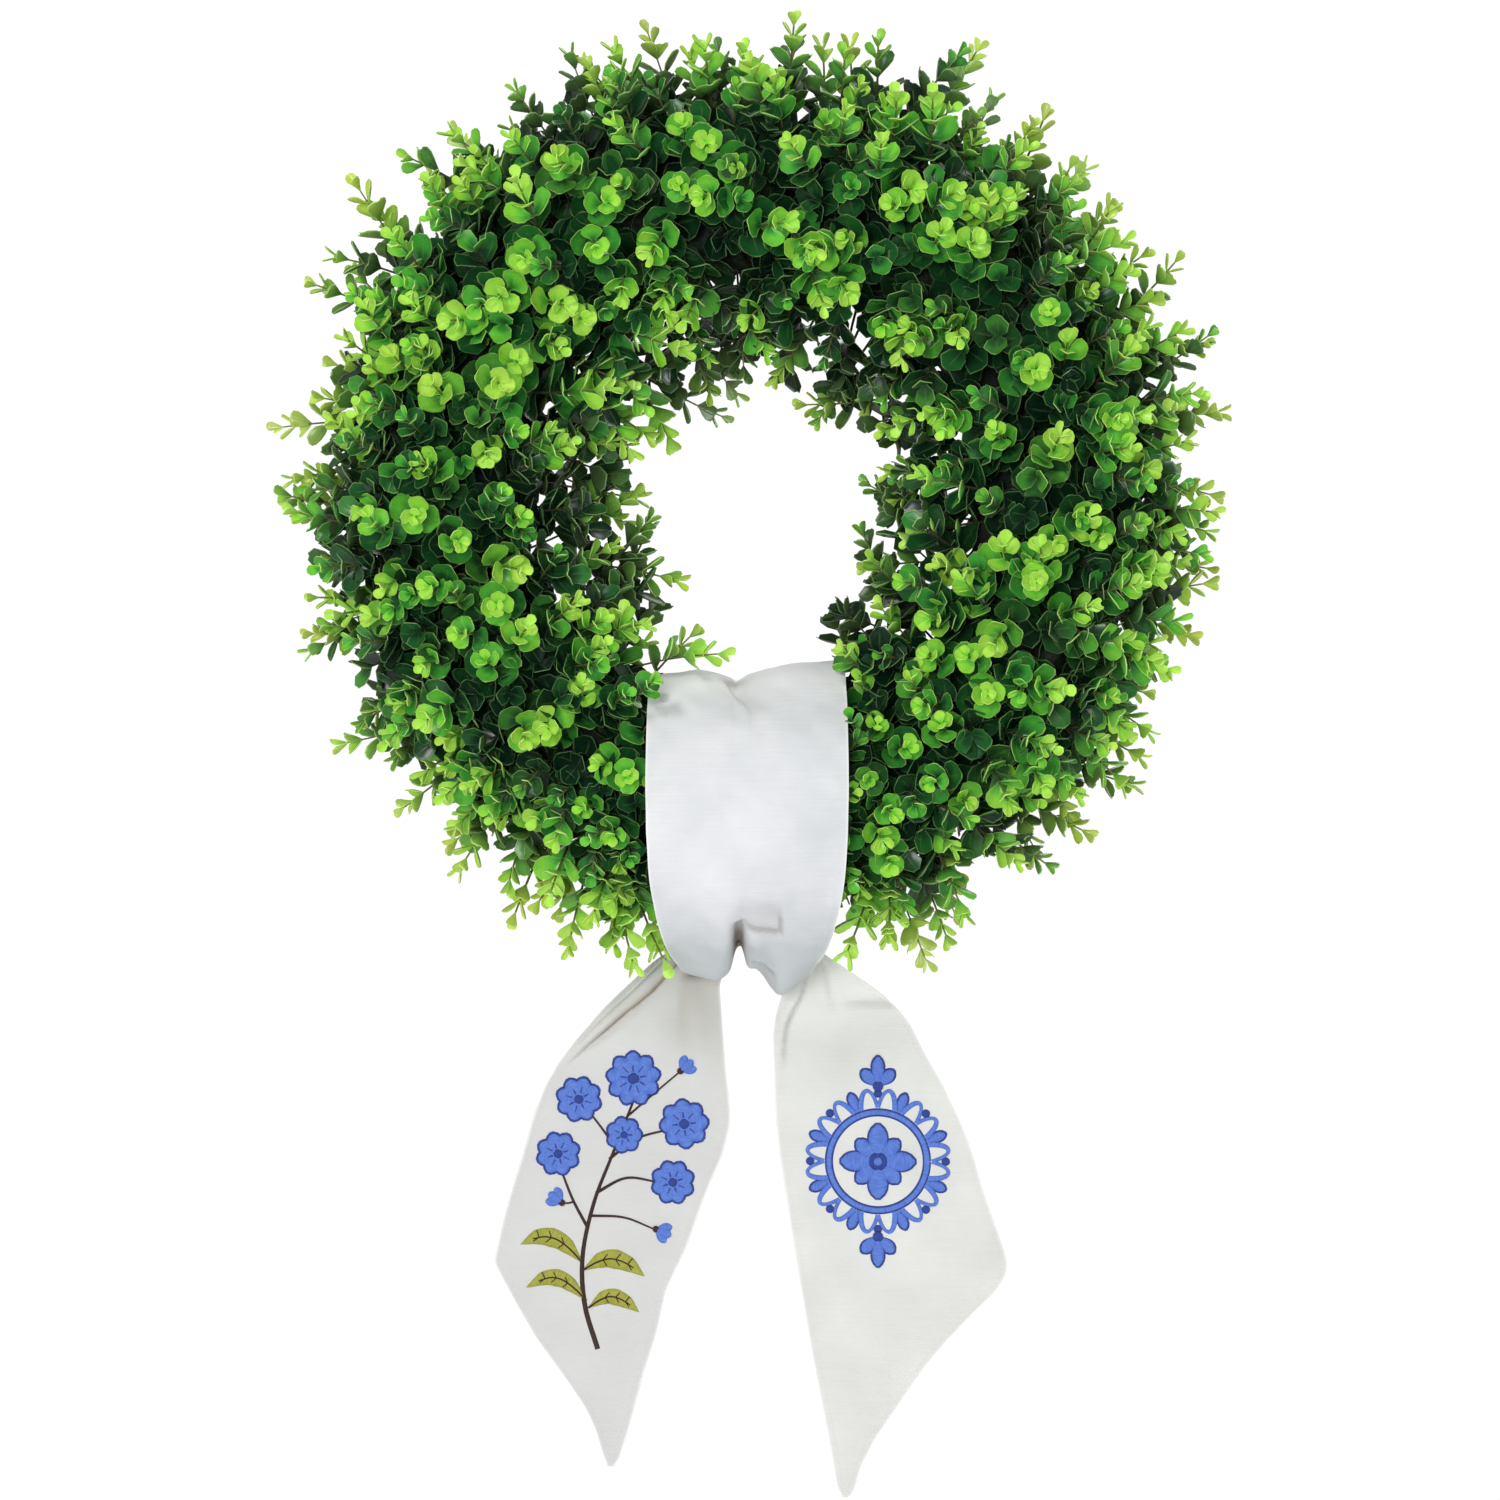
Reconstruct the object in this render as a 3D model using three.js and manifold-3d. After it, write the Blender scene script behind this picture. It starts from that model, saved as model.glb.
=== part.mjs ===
// Artificial boxwood wreath on a flat-backed hoop, with a cloth sash tied round its lower end.
// Millimetres, +Z up. The front faces -Y and the back lies in the plane y = 0, against a door.
// The origin is the hook's seat: the hoop's inner face at its top, at the back edge.
import * as THREE from "three";
import { mergeVertices } from "three/addons/utils/BufferGeometryUtils.js";
import Module from "manifold-3d";

const wasm = await Module();
wasm.setup();

// Hoop: a moulded ring with a trapezoid section, wide at the back.
const HOOP_RADIUS = 158;
const HOOP_BACK_WIDTH = 18;
const HOOP_FRONT_WIDTH = 12;
const HOOP_DEPTH = 14;
const HOOP_SEGMENTS = 36;
// The hoop's back is stepped in where the sash passes behind it.
const SASH_CHANNEL = { halfWidth: 56, depth: 3 };
const RING_Z = -(HOOP_RADIUS - HOOP_BACK_WIDTH / 2);
const HOOP_Y = -HOOP_DEPTH / 2;

// Bunches of sprigs: the ring is split into sectors, and each sector's section into four rows.
const SECTORS = 12;
const FIRST_SECTOR = 75;
const BOTTOM_SECTOR = 6;
const CORE_REACH = 54;
// Shorter cores in the bottom sector, under the sash, and in the sectors beside it.
const CORE_REACHES_BELOW = [31, 37, 50];
const CLEARANCE = 0.4;
const HOOP_CORNER = deg(Math.atan2(HOOP_DEPTH / 2, HOOP_FRONT_WIDTH / 2));
// Tube angles: 0 points away from the ring's centre, 90 to the front, 180 to the centre.
const ROWS = [
  { name: "outer", from: -6, to: HOOP_CORNER, sprigs: [[0.17, 14], [0.5, 12], [0.83, 15], [0.3, 41], [0.76, 39]] },
  { name: "front_outer", from: HOOP_CORNER, to: 90, sprigs: [[0.04, 67], [0.52, 69]] },
  { name: "front_inner", from: 90, to: 180 - HOOP_CORNER, sprigs: [[0.26, 96], [0.8, 99]] },
  { name: "inner", from: 180 - HOOP_CORNER, to: 186, sprigs: [[0.04, 135], [0.55, 132], [0.3, 163]] },
];

// Sprigs: stems with pairs of spoon-shaped leaves, large below and small at the tip.
const REACH = 95;
const REACH_FRONT_LESS = 8;
const REACH_TOP_MORE = 5;
const REACH_BOTTOM_LESS = 8;
const REACH_SPREAD = 8;
const LEAN = 12;
const STEM_START = 22;
const STEM_SHORTEST = 50;
const STEM_HALF = 0.9;
const LEAF_THICKNESS = 0.9;
const LOWER_PAIR = { below: 25, length: 27, width: 25, round: true };
const UPPER_PAIR = { below: 5, length: 23, width: 21, round: false };
// The sizes tried for the lower and the upper pair, and how many turns about the stem.
const SHRINKS = [[1, 1], [0.85, 0.95], [0.72, 0.88], [0.6, 0.8], [0.5, 0.7], [0.4, 0.6]];
const TWISTS = 12;

// Sash: one doubled strip of cloth round the ring's lower end, knotted behind, with two tails.
const SASH_THICKNESS = 1.6;
const SASH_BOTTOM = -HOOP_RADIUS;
// The band's section: [below the hoop's centre, in front of it, half width].
const BAND_PATH = [
  [33, -5.4, 22],
  [0, -5.4, 40],
  [-36, -5.3, 48],
  [-53, -4.8, 49],
  [-63, 4, 50],
  [-67, 24, 51],
  [-59, 50, 51],
  [-34, 74, 51.5],
  [4, 83, 51.5],
  [42, 75, 49.5],
  [73, 54, 43],
  [94, 30, 33],
  [87, 14, 27],
  [70, 7, 24],
  [50, 4.7, 20],
];
const BAND_STATIONS = 18;
const BAND_COLUMNS = [-1, -0.6, -0.24, 0, 0.24, 0.6, 1];
const BAND_X = -2.5;
const NOTCH_DEPTH = 26;
const KNOT = { x: 1, below: 48, front: -1.5, width: 54, height: 26, depth: 10 };
// Tail edges: [x, z] from the ring's centre, from the knot down to the point.
const TAIL_LEFT = {
  left: [[-22, -219.35], [-44, -246], [-80, -282], [-106, -311], [-129, -375], [-137, -403], [-122, -431], [-86, -484], [-77, -509]],
  right: [[0.2, -219.35], [-17, -250], [-16, -293], [-11, -324], [-25, -372], [-38, -410], [-54, -457], [-65, -490], [-72, -510]],
};
const TAIL_RIGHT = {
  left: [[1.6, -219.35], [25, -246], [13, -282], [13, -324], [20, -362], [31, -431], [37, -468], [43, -500], [47, -528]],
  right: [[25, -219.35], [53, -247], [95, -290], [116, -340], [133, -397], [130, -415], [100, -442], [68, -489], [54, -526]],
};
const TAIL_ROWS = 12;
const TAIL_COLUMNS = 4;
const TAIL_Y = -5.5;
const TAIL_WAVE = 2.2;

const LEAF_GREEN = { color: 0x3f8f2c, roughness: 0.42, metalness: 0 };
const HOOP_GREEN = { color: 0x1f3a22, roughness: 0.6, metalness: 0 };
const CLOTH_WHITE = { color: 0xe9e7e2, roughness: 0.92, metalness: 0 };

function deg(radians) {
  return (radians * 180) / Math.PI;
}

function rad(degrees) {
  return (degrees * Math.PI) / 180;
}

// A repeatable draw from 0 to 1 for a sprig's number and a purpose.
function draw(number, purpose) {
  const wave = Math.sin(number * 12.9898 + purpose * 78.233) * 43758.5453;
  return wave - Math.floor(wave);
}

// A closed solid from points and triangles, turned to face outwards.
function solidFrom(points, faces) {
  const sixVolumes = faces.reduce((sum, [a, b, c]) => sum + points[a].dot(points[b].clone().cross(points[c])), 0);
  const outwardFaces = sixVolumes < 0 ? faces.map(([a, b, c]) => [a, c, b]) : faces;
  const vertProperties = new Float32Array(points.flatMap((p) => [p.x, p.y, p.z]));
  const triVerts = new Uint32Array(outwardFaces.flat());
  return new wasm.Manifold(new wasm.Mesh({ numProp: 3, vertProperties, triVerts }));
}

function solidOf(geometry) {
  const bare = geometry.clone();
  bare.deleteAttribute("normal");
  bare.deleteAttribute("uv");
  const merged = mergeVertices(bare, 1e-3);
  const vertProperties = new Float32Array(merged.attributes.position.array);
  const triVerts = new Uint32Array(merged.index.array);
  return new wasm.Manifold(new wasm.Mesh({ numProp: 3, vertProperties, triVerts }));
}

function geometryOf(solid) {
  const { vertProperties, triVerts, numProp } = solid.getMesh();
  const positions = new Float32Array((vertProperties.length / numProp) * 3);
  for (let i = 0; i < positions.length / 3; i++) {
    positions.set(vertProperties.subarray(i * numProp, i * numProp + 3), i * 3);
  }
  const geometry = new THREE.BufferGeometry();
  geometry.setAttribute("position", new THREE.BufferAttribute(positions, 3));
  geometry.setIndex(new THREE.BufferAttribute(triVerts, 1));
  geometry.computeVertexNormals();
  return geometry;
}

function outward(theta) {
  return new THREE.Vector3(Math.cos(rad(theta)), 0, Math.sin(rad(theta)));
}

// A point of the ring's section at a ring angle, on the hoop's flat segments.
function ringPoint(theta, away, front) {
  const step = 360 / HOOP_SEGMENTS;
  const fromMiddle = ((((theta + step / 2) % step) + step) % step) - step / 2;
  const distance = (HOOP_RADIUS + away) / Math.cos(rad(fromMiddle));
  return outward(theta)
    .multiplyScalar(distance)
    .add(new THREE.Vector3(0, HOOP_Y - front, RING_Z));
}

// A solid that follows the ring through stations, each with the same section.
function ringSolid(stations, section, closed) {
  const count = section.length;
  const points = stations.flatMap((theta) => section.map(([away, front]) => ringPoint(theta, away, front)));
  const faces = [];
  const spans = closed ? stations.length : stations.length - 1;
  for (let i = 0; i < spans; i++) {
    const here = i * count;
    const next = ((i + 1) % stations.length) * count;
    for (let j = 0; j < count; j++) {
      const k = (j + 1) % count;
      faces.push([here + j, next + j, next + k], [here + j, next + k, here + k]);
    }
  }
  if (!closed) {
    const last = (stations.length - 1) * count;
    for (let j = 1; j < count - 1; j++) {
      faces.push([0, j, j + 1], [last, last + j + 1, last + j]);
    }
  }
  return solidFrom(points, faces);
}

function makeHoop() {
  const back = HOOP_BACK_WIDTH / 2;
  const front = HOOP_FRONT_WIDTH / 2;
  const half = HOOP_DEPTH / 2;
  const section = [[-back, -half], [-front, half], [front, half], [back, -half]];
  const stations = [];
  for (let i = 0; i < HOOP_SEGMENTS; i++) stations.push(((i + 0.5) * 360) / HOOP_SEGMENTS);
  const channel = new THREE.BoxGeometry(2 * SASH_CHANNEL.halfWidth, 2 * SASH_CHANNEL.depth, 60);
  channel.translate(0, 0, RING_Z - HOOP_RADIUS);
  return ringSolid(stations, section, true).subtract(solidOf(channel));
}

// How far the hoop's surface, with clearance, lies from its centre line at a tube angle.
function hoopSurface(phi) {
  const half = HOOP_DEPTH / 2 + CLEARANCE;
  const mean = (HOOP_BACK_WIDTH + HOOP_FRONT_WIDTH) / 4 + CLEARANCE;
  const slope = (HOOP_BACK_WIDTH - HOOP_FRONT_WIDTH) / 2 / HOOP_DEPTH;
  const [c, s] = [Math.abs(Math.cos(rad(phi))), Math.sin(rad(phi))];
  const toSide = mean / Math.max(c + slope * s, 1e-6);
  return s > 0 ? Math.min(toSide, half / s) : toSide;
}

// The close-packed stem bases of a bunch, as one core against the hoop.
function makeCore(row, sector) {
  const gap = deg(CLEARANCE / 2 / (HOOP_RADIUS - CORE_REACH));
  const start = FIRST_SECTOR + (sector * 360) / SECTORS;
  const step = 360 / HOOP_SEGMENTS;
  const stations = [start + gap, start + step, start + 2 * step, start + 3 * step - gap];
  const reach = CORE_REACHES_BELOW[Math.abs(sector - BOTTOM_SECTOR)] ?? CORE_REACH;
  const bulge = reach / Math.cos(rad((row.to - row.from) / 4));
  const at = (phi, r, aside) => {
    const [c, s] = [Math.cos(rad(phi)), Math.sin(rad(phi))];
    return [r * c - aside * s, r * s + aside * c];
  };
  const section = [
    at(row.from, hoopSurface(row.from), CLEARANCE / 2),
    at(row.to, hoopSurface(row.to), -CLEARANCE / 2),
    at(row.to, reach, -CLEARANCE / 2),
    at((row.from + row.to) / 2, bulge, 0),
    at(row.from, reach, CLEARANCE / 2),
  ];
  return ringSolid(stations, section, false);
}

// The outline of one leaf of a pair, from the stem's edge round to its other edge.
function leafOutline(kind, size, extra) {
  const length = kind.length * size + extra;
  const half = (kind.width * size) / 2 + extra;
  const share = kind.round
    ? [[0.44, -1], [0.9, -0.56], [0.9, 0.56], [0.44, 1]]
    : [[0.58, -1], [1, 0], [0.58, 1]];
  const leaf = share.map(([x, y]) => [x * length, y * half]);
  const arch = ([x, y]) => 0.5 * x - (0.26 * x * x) / length + 0.22 * Math.abs(y);
  return leaf.map((p) => [...p, arch(p)]);
}

// A sprig in one closed surface: a square stem from its root, with a pair of leaves at each joint.
function sprigSolid(root, joints, extra) {
  const points = [];
  const faces = [];
  const side = STEM_HALF + extra;
  const thick = LEAF_THICKNESS / 2 + extra;
  const add = (frame, x, y, z) => {
    const place = frame.origin.clone().addScaledVector(frame.x, x);
    points.push(place.addScaledVector(frame.y, y).addScaledVector(frame.axis, z));
    return points.length - 1;
  };
  const ring = (frame, z) => [[1, 1], [-1, 1], [-1, -1], [1, -1]].map(([x, y]) => add(frame, x * side, y * side, z));
  const quad = (a, b, c, d) => faces.push([a, b, c], [a, c, d]);
  let below = ring(root, 0);
  quad(below[0], below[3], below[2], below[1]);
  let shift = 0;
  for (const joint of joints) {
    const under = ring(joint, -thick);
    const over = ring(joint, thick);
    for (let k = 0; k < 4; k++) {
      const [a, b] = [(k + shift) % 4, (k + 1 + shift) % 4];
      quad(below[a], below[b], under[(k + 1) % 4], under[k]);
    }
    for (const [sign, first, last, beyond] of [[1, 3, 0, 1], [-1, 1, 2, 3]]) {
      const leaf = leafOutline(joint.kind, joint.size, extra);
      const tops = leaf.map(([x, y, z]) => add(joint, sign * x, sign * y, z + thick));
      const bottoms = leaf.map(([x, y, z]) => add(joint, sign * x, sign * y, z - thick));
      const upper = [over[first], ...tops, over[last]];
      const lower = [under[first], ...bottoms, under[last]];
      const end = upper.length - 1;
      const flat = [[0, 1, end - 1], [0, end - 1, end], [1, 2, end - 1]];
      if (end === 5) flat.push([2, 3, 4]);
      for (const [a, b, c] of flat) faces.push([upper[a], upper[b], upper[c]], [lower[a], lower[c], lower[b]]);
      for (let k = 0; k < end; k++) quad(lower[k], lower[k + 1], upper[k + 1], upper[k]);
      quad(under[last], under[beyond], over[beyond], over[last]);
    }
    below = over;
    shift = 1;
  }
  quad(below[0], below[1], below[2], below[3]);
  return solidFrom(points, faces);
}

// What stands in the leaves' way: every solid placed so far, with its node and its box.
const obstacles = [];

function addObstacle(owner, solid) {
  obstacles.push({ owner, solid, box: solid.boundingBox() });
}

function boxesMeet(a, b) {
  return [0, 1, 2].every((i) => a.min[i] <= b.max[i] && b.min[i] <= a.max[i]);
}

function isClear(solid, ownCore) {
  const box = solid.boundingBox();
  return obstacles.every((o) => o.owner === ownCore || !boxesMeet(o.box, box) || solid.intersect(o.solid).isEmpty());
}

// One sprig of a bunch, turned and sized to clear its neighbours, and shorter under the sash.
function makeSprig(number, theta, phi, node) {
  const radial = outward(theta);
  const along = radial.clone().multiplyScalar(Math.cos(rad(phi))).add(new THREE.Vector3(0, -Math.sin(rad(phi)), 0));
  const tangent = new THREE.Vector3(-Math.sin(rad(theta)), 0, Math.cos(rad(theta)));
  const binormal = along.clone().cross(tangent);
  const foot = ringPoint(theta, 0, 0);
  const reach =
    REACH -
    REACH_FRONT_LESS * Math.abs(Math.sin(rad(phi))) +
    (Math.sin(rad(theta)) > 0 ? REACH_TOP_MORE : REACH_BOTTOM_LESS) * Math.sin(rad(theta)) +
    REACH_SPREAD * (draw(number, 1) - 0.5);
  const lean = tangent.clone().multiplyScalar(LEAN * (draw(number, 2) - 0.5));
  lean.addScaledVector(binormal, LEAN * (draw(number, 3) - 0.5));
  const frameAt = (r, twist) => {
    const t = (r - STEM_START) / (REACH - STEM_START);
    const origin = foot.clone().addScaledVector(along, r).addScaledVector(lean, t * t);
    const axis = along.clone().addScaledVector(lean, (2 * t) / (REACH - STEM_START)).normalize();
    const x = tangent.clone().addScaledVector(axis, -tangent.dot(axis)).normalize().applyAxisAngle(axis, twist);
    return { origin, axis, x, y: axis.clone().cross(x) };
  };
  for (let top = reach; top > STEM_SHORTEST; top -= 6) {
    const share = Math.min(1, top / reach);
    for (const [low, high] of SHRINKS) {
      for (let turn = 0; turn < TWISTS; turn++) {
        const twist = (draw(number, 5) + turn / TWISTS) * Math.PI;
        const build = (extra) =>
          sprigSolid(
            frameAt(STEM_START, twist),
            [
              { ...frameAt(top - LOWER_PAIR.below * share, twist), kind: LOWER_PAIR, size: low * share },
              { ...frameAt(top - UPPER_PAIR.below, twist + Math.PI / 2), kind: UPPER_PAIR, size: high * share },
            ],
            extra,
          );
        if (!isClear(build(CLEARANCE / 2), node)) continue;
        const sprig = build(0);
        addObstacle(node + "/sprig", sprig);
        return [sprig];
      }
    }
  }
  return [];
}

function curveThrough(rows, count) {
  const curve = new THREE.CatmullRomCurve3(
    rows.map((p) => new THREE.Vector3(...p)),
    false,
    "catmullrom",
    0.5,
  );
  return curve.getPoints(count);
}

// A closed sheet of cloth from a grid of points on its middle surface.
function sheetSolid(grid) {
  const [rows, columns] = [grid.length, grid[0].length];
  const faceSides = [[], []];
  grid.forEach((line, i) =>
    line.forEach((point, j) => {
      const down = grid[Math.min(i + 1, rows - 1)][j].clone().sub(grid[Math.max(i - 1, 0)][j]);
      const over = line[Math.min(j + 1, columns - 1)].clone().sub(line[Math.max(j - 1, 0)]);
      const normal = over.cross(down).normalize().multiplyScalar(SASH_THICKNESS / 2);
      faceSides[0].push(point.clone().add(normal));
      faceSides[1].push(point.clone().sub(normal));
    }),
  );
  const back = rows * columns;
  const at = (i, j) => i * columns + j;
  const faces = [];
  for (let i = 0; i < rows - 1; i++) {
    for (let j = 0; j < columns - 1; j++) {
      const [a, b, c, d] = [at(i, j), at(i, j + 1), at(i + 1, j + 1), at(i + 1, j)];
      faces.push([a, b, c], [a, c, d], [a + back, c + back, b + back], [a + back, d + back, c + back]);
    }
  }
  const rim = [];
  for (let j = 0; j < columns - 1; j++) rim.push(at(0, j));
  for (let i = 0; i < rows - 1; i++) rim.push(at(i, columns - 1));
  for (let j = columns - 1; j > 0; j--) rim.push(at(rows - 1, j));
  for (let i = rows - 1; i > 0; i--) rim.push(at(i, 0));
  rim.forEach((a, k) => {
    const b = rim[(k + 1) % rim.length];
    faces.push([a, a + back, b + back], [a, b + back, b]);
  });
  return solidFrom([...faceSides[0], ...faceSides[1]], faces);
}

// The band: over the ring's inner side, down the front, and gathered under the lower end.
function makeBand() {
  const stations = curveThrough(BAND_PATH, BAND_STATIONS);
  const grid = stations.map(([below, front, half], i) => {
    const p = stations[i];
    const ahead = stations[Math.min(i + 1, BAND_STATIONS)];
    const behind = stations[Math.max(i - 1, 0)];
    const inward = new THREE.Vector2(ahead.y - behind.y, behind.x - ahead.x).normalize();
    const t = i / BAND_STATIONS;
    const gather = THREE.MathUtils.smoothstep(t, 0.7, 0.86);
    return BAND_COLUMNS.map((c) => {
      const notch = NOTCH_DEPTH * gather * Math.exp(-((c / 0.24) ** 2));
      const x = BAND_X + c * p.z;
      return new THREE.Vector3(
        x,
        HOOP_Y - p.y - inward.y * notch,
        RING_Z + SASH_BOTTOM - p.x - inward.x * notch,
      );
    });
  });
  return sheetSolid(grid);
}

function makeTail(edges, wavePhase) {
  const edge = (points) => curveThrough(points.map(([x, z]) => [x, 0, z]), TAIL_ROWS);
  const [left, right] = [edge(edges.left), edge(edges.right)];
  const grid = left.map((from, i) => {
    const to = right[i];
    const t = i / TAIL_ROWS;
    const line = [];
    for (let j = 0; j <= TAIL_COLUMNS; j++) {
      const s = j / TAIL_COLUMNS;
      const wave = TAIL_WAVE * Math.sin(s * 5 + wavePhase) * Math.sin(Math.PI * t);
      const place = from.clone().lerp(to, s);
      line.push(place.add(new THREE.Vector3(0, TAIL_Y - 2 * t + wave, RING_Z)));
    }
    return line;
  });
  return sheetSolid(grid);
}

function makeKnot() {
  const geometry = new THREE.SphereGeometry(0.5, 12, 8);
  geometry.scale(KNOT.width, KNOT.depth, KNOT.height);
  geometry.translate(KNOT.x, HOOP_Y - KNOT.front, RING_Z + SASH_BOTTOM - KNOT.below);
  return solidOf(geometry);
}

function namedMesh(name, solid, look) {
  const mesh = new THREE.Mesh(geometryOf(solid), new THREE.MeshStandardMaterial(look));
  mesh.name = name;
  return mesh;
}

const hoop = makeHoop();
const sash = {
  sash_band: makeBand(),
  sash_knot: makeKnot(),
  sash_tail_left: makeTail(TAIL_LEFT, 0.4),
  sash_tail_right: makeTail(TAIL_RIGHT, 2.2),
};
const door = new THREE.BoxGeometry(600, 40, 600);
door.translate(0, 20 - CLEARANCE, RING_Z);
addObstacle("door", solidOf(door));
addObstacle("hoop", hoop);
for (const [name, solid] of Object.entries(sash)) addObstacle(name, solid);

const bunches = [];
for (const row of ROWS) {
  for (let sector = 0; sector < SECTORS; sector++) {
    const name = `${row.name}_bunch_${String(sector + 1).padStart(2, "0")}`;
    const core = makeCore(row, sector);
    addObstacle(name, core);
    bunches.push({ name, row, sector, pieces: [core] });
  }
}
let number = 0;
for (const bunch of bunches) {
  for (const [place, phi] of bunch.row.sprigs) {
    number += 1;
    const jitter = 4 * (draw(number, 4) - 0.5);
    const theta = FIRST_SECTOR + ((bunch.sector + place) * 360) / SECTORS;
    bunch.pieces.push(...makeSprig(number, theta, phi + jitter, bunch.name));
  }
}

const sashGroup = new THREE.Group();
for (const [name, solid] of Object.entries(sash)) sashGroup.add(namedMesh(name, solid, CLOTH_WHITE));
const foliageGroup = new THREE.Group();
for (const bunch of bunches) {
  foliageGroup.add(namedMesh(bunch.name, wasm.Manifold.union(bunch.pieces), LEAF_GREEN));
}
const wreath = new THREE.Group();
wreath.add(namedMesh("hoop", hoop, HOOP_GREEN), sashGroup, foliageGroup);

export default wreath;
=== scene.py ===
"""Artificial boxwood wreath with a cloth sash tied round its lower end, hung flat on its hoop."""

import math

import bpy
import numpy as np
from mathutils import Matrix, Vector
from mathutils.bvhtree import BVHTree


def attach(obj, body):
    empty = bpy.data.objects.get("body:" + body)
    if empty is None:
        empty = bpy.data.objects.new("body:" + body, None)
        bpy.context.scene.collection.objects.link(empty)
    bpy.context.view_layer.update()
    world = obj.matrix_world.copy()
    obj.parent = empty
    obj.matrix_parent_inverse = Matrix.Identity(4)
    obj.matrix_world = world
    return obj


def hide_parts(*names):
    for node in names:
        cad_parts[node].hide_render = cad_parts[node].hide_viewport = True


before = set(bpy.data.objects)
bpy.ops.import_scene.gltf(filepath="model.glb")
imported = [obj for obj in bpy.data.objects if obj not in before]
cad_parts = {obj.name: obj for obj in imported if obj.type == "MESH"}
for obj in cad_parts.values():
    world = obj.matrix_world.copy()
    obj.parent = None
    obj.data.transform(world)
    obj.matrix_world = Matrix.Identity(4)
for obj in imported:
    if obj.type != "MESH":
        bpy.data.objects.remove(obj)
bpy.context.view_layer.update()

MM = 0.001
# The ring of sprigs is in twelve pieces, and the first starts at this angle.
SECTORS = 12
FIRST_SECTOR_DEG = 75.0

# The hoop, in millimetres: its sizes, the heights of its centre and lowest point, how much its corners
# are rounded, and the depth and half width of the channel for the sash.
HOOP_RADIUS = 158.0
HOOP_BACK_WIDTH = 18.0
HOOP_FRONT_WIDTH = 12.0
HOOP_DEPTH = 14.0
HOOP_Y = -7.0
RING_Z = -149.0
HOOP_LOW_Z = RING_Z - HOOP_RADIUS
HOOP_FRONT_ROUNDING = 1.4
HOOP_BACK_ROUNDING = 0.35
SASH_CHANNEL = 3
SASH_CHANNEL_HALF = 56


def draw(number, purpose):
    """A repeatable draw from 0 to 1 for a thing's number and a purpose."""
    wave = np.sin(np.asarray(number) * 12.9898 + purpose * 78.233) * 43758.5453
    return wave - np.floor(wave)


def ripple(x, y, seed, scale):
    """Soft seeded unevenness from about -1 to 1, with features of the given size: five crossing waves."""
    total = np.zeros(np.broadcast(x, y).shape)
    for k in range(5):
        turn, shift = (2 * math.pi * draw(seed * 7 + k, purpose) for purpose in (1, 2))
        pitch = 2 * math.pi / scale * (0.6 + 0.9 * draw(seed * 7 + k, 3))
        total += np.sin((x * math.cos(turn) + y * math.sin(turn)) * pitch + shift)
    return total / 3.2


def bell(x, centre, width):
    """A smooth bump of height 1."""
    return np.exp(-(((x - centre) / width) ** 2))


def ease(x, start, end):
    """Goes smoothly from 0 at start to 1 at end."""
    t = np.clip((x - start) / (end - start), 0, 1)
    return t * t * (3 - 2 * t)


def span(x, start, full, fading, end):
    """Rises smoothly from 0 at start to 1 at full, and falls again from fading to 0 at end."""
    return ease(x, start, full) * (1 - ease(x, fading, end))


class Value:
    """A socket in a node tree; sums on it add their nodes."""

    def __init__(self, nodes, socket):
        self.nodes = nodes
        self.socket = socket

    def sum(self, operation, *terms):
        return self.nodes.node("Math", {"operation": operation}, *terms)

    def __add__(self, other):
        return self.sum("ADD", self, other)

    __radd__ = __add__

    def __sub__(self, other):
        return self.sum("SUBTRACT", self, other)

    def __rsub__(self, other):
        return self.sum("SUBTRACT", other, self)

    def __mul__(self, other):
        return self.sum("MULTIPLY", self, other)

    __rmul__ = __mul__

    def size(self):
        return self.sum("ABSOLUTE", self)

    def wave(self):
        return self.sum("SINE", self)

    def between(self, low, high):
        """0 below low, 1 above high, and smooth between them."""
        settings = {"interpolation_type": "SMOOTHSTEP"}
        return self.nodes.node("MapRange", settings, self, low, high)


class Nodes:
    """The node tree of a material or of the world."""

    def __init__(self, owner):
        owner.use_nodes = True
        self.tree = owner.node_tree

    def node(self, kind, settings=None, *inputs, output=0, **named):
        """A node, with its settings, then the values or links of its sockets in order or by name."""
        made = self.tree.nodes.new("ShaderNode" + kind)
        for key, value in (settings or {}).items():
            if key == "stops":
                self.set_stops(made.color_ramp, value)
            else:
                setattr(made, key, value)
        for key, value in [*enumerate(inputs), *named.items()]:
            self.feed(made.inputs[key], value)
        return Value(self, made.outputs[output])

    def set_stops(self, ramp, stops):
        while len(ramp.elements) < len(stops):
            ramp.elements.new(0.5)
        for element, (place, colour) in zip(ramp.elements, stops):
            element.position = place
            element.color = (*colour, 1)

    def feed(self, socket, value):
        """Links a value to a socket or sets it there; None leaves the socket as it is."""
        if isinstance(value, Value):
            self.tree.links.new(value.socket, socket)
        elif value is not None:
            socket.default_value = (*value, 1) if socket.type == "RGBA" else value


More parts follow.
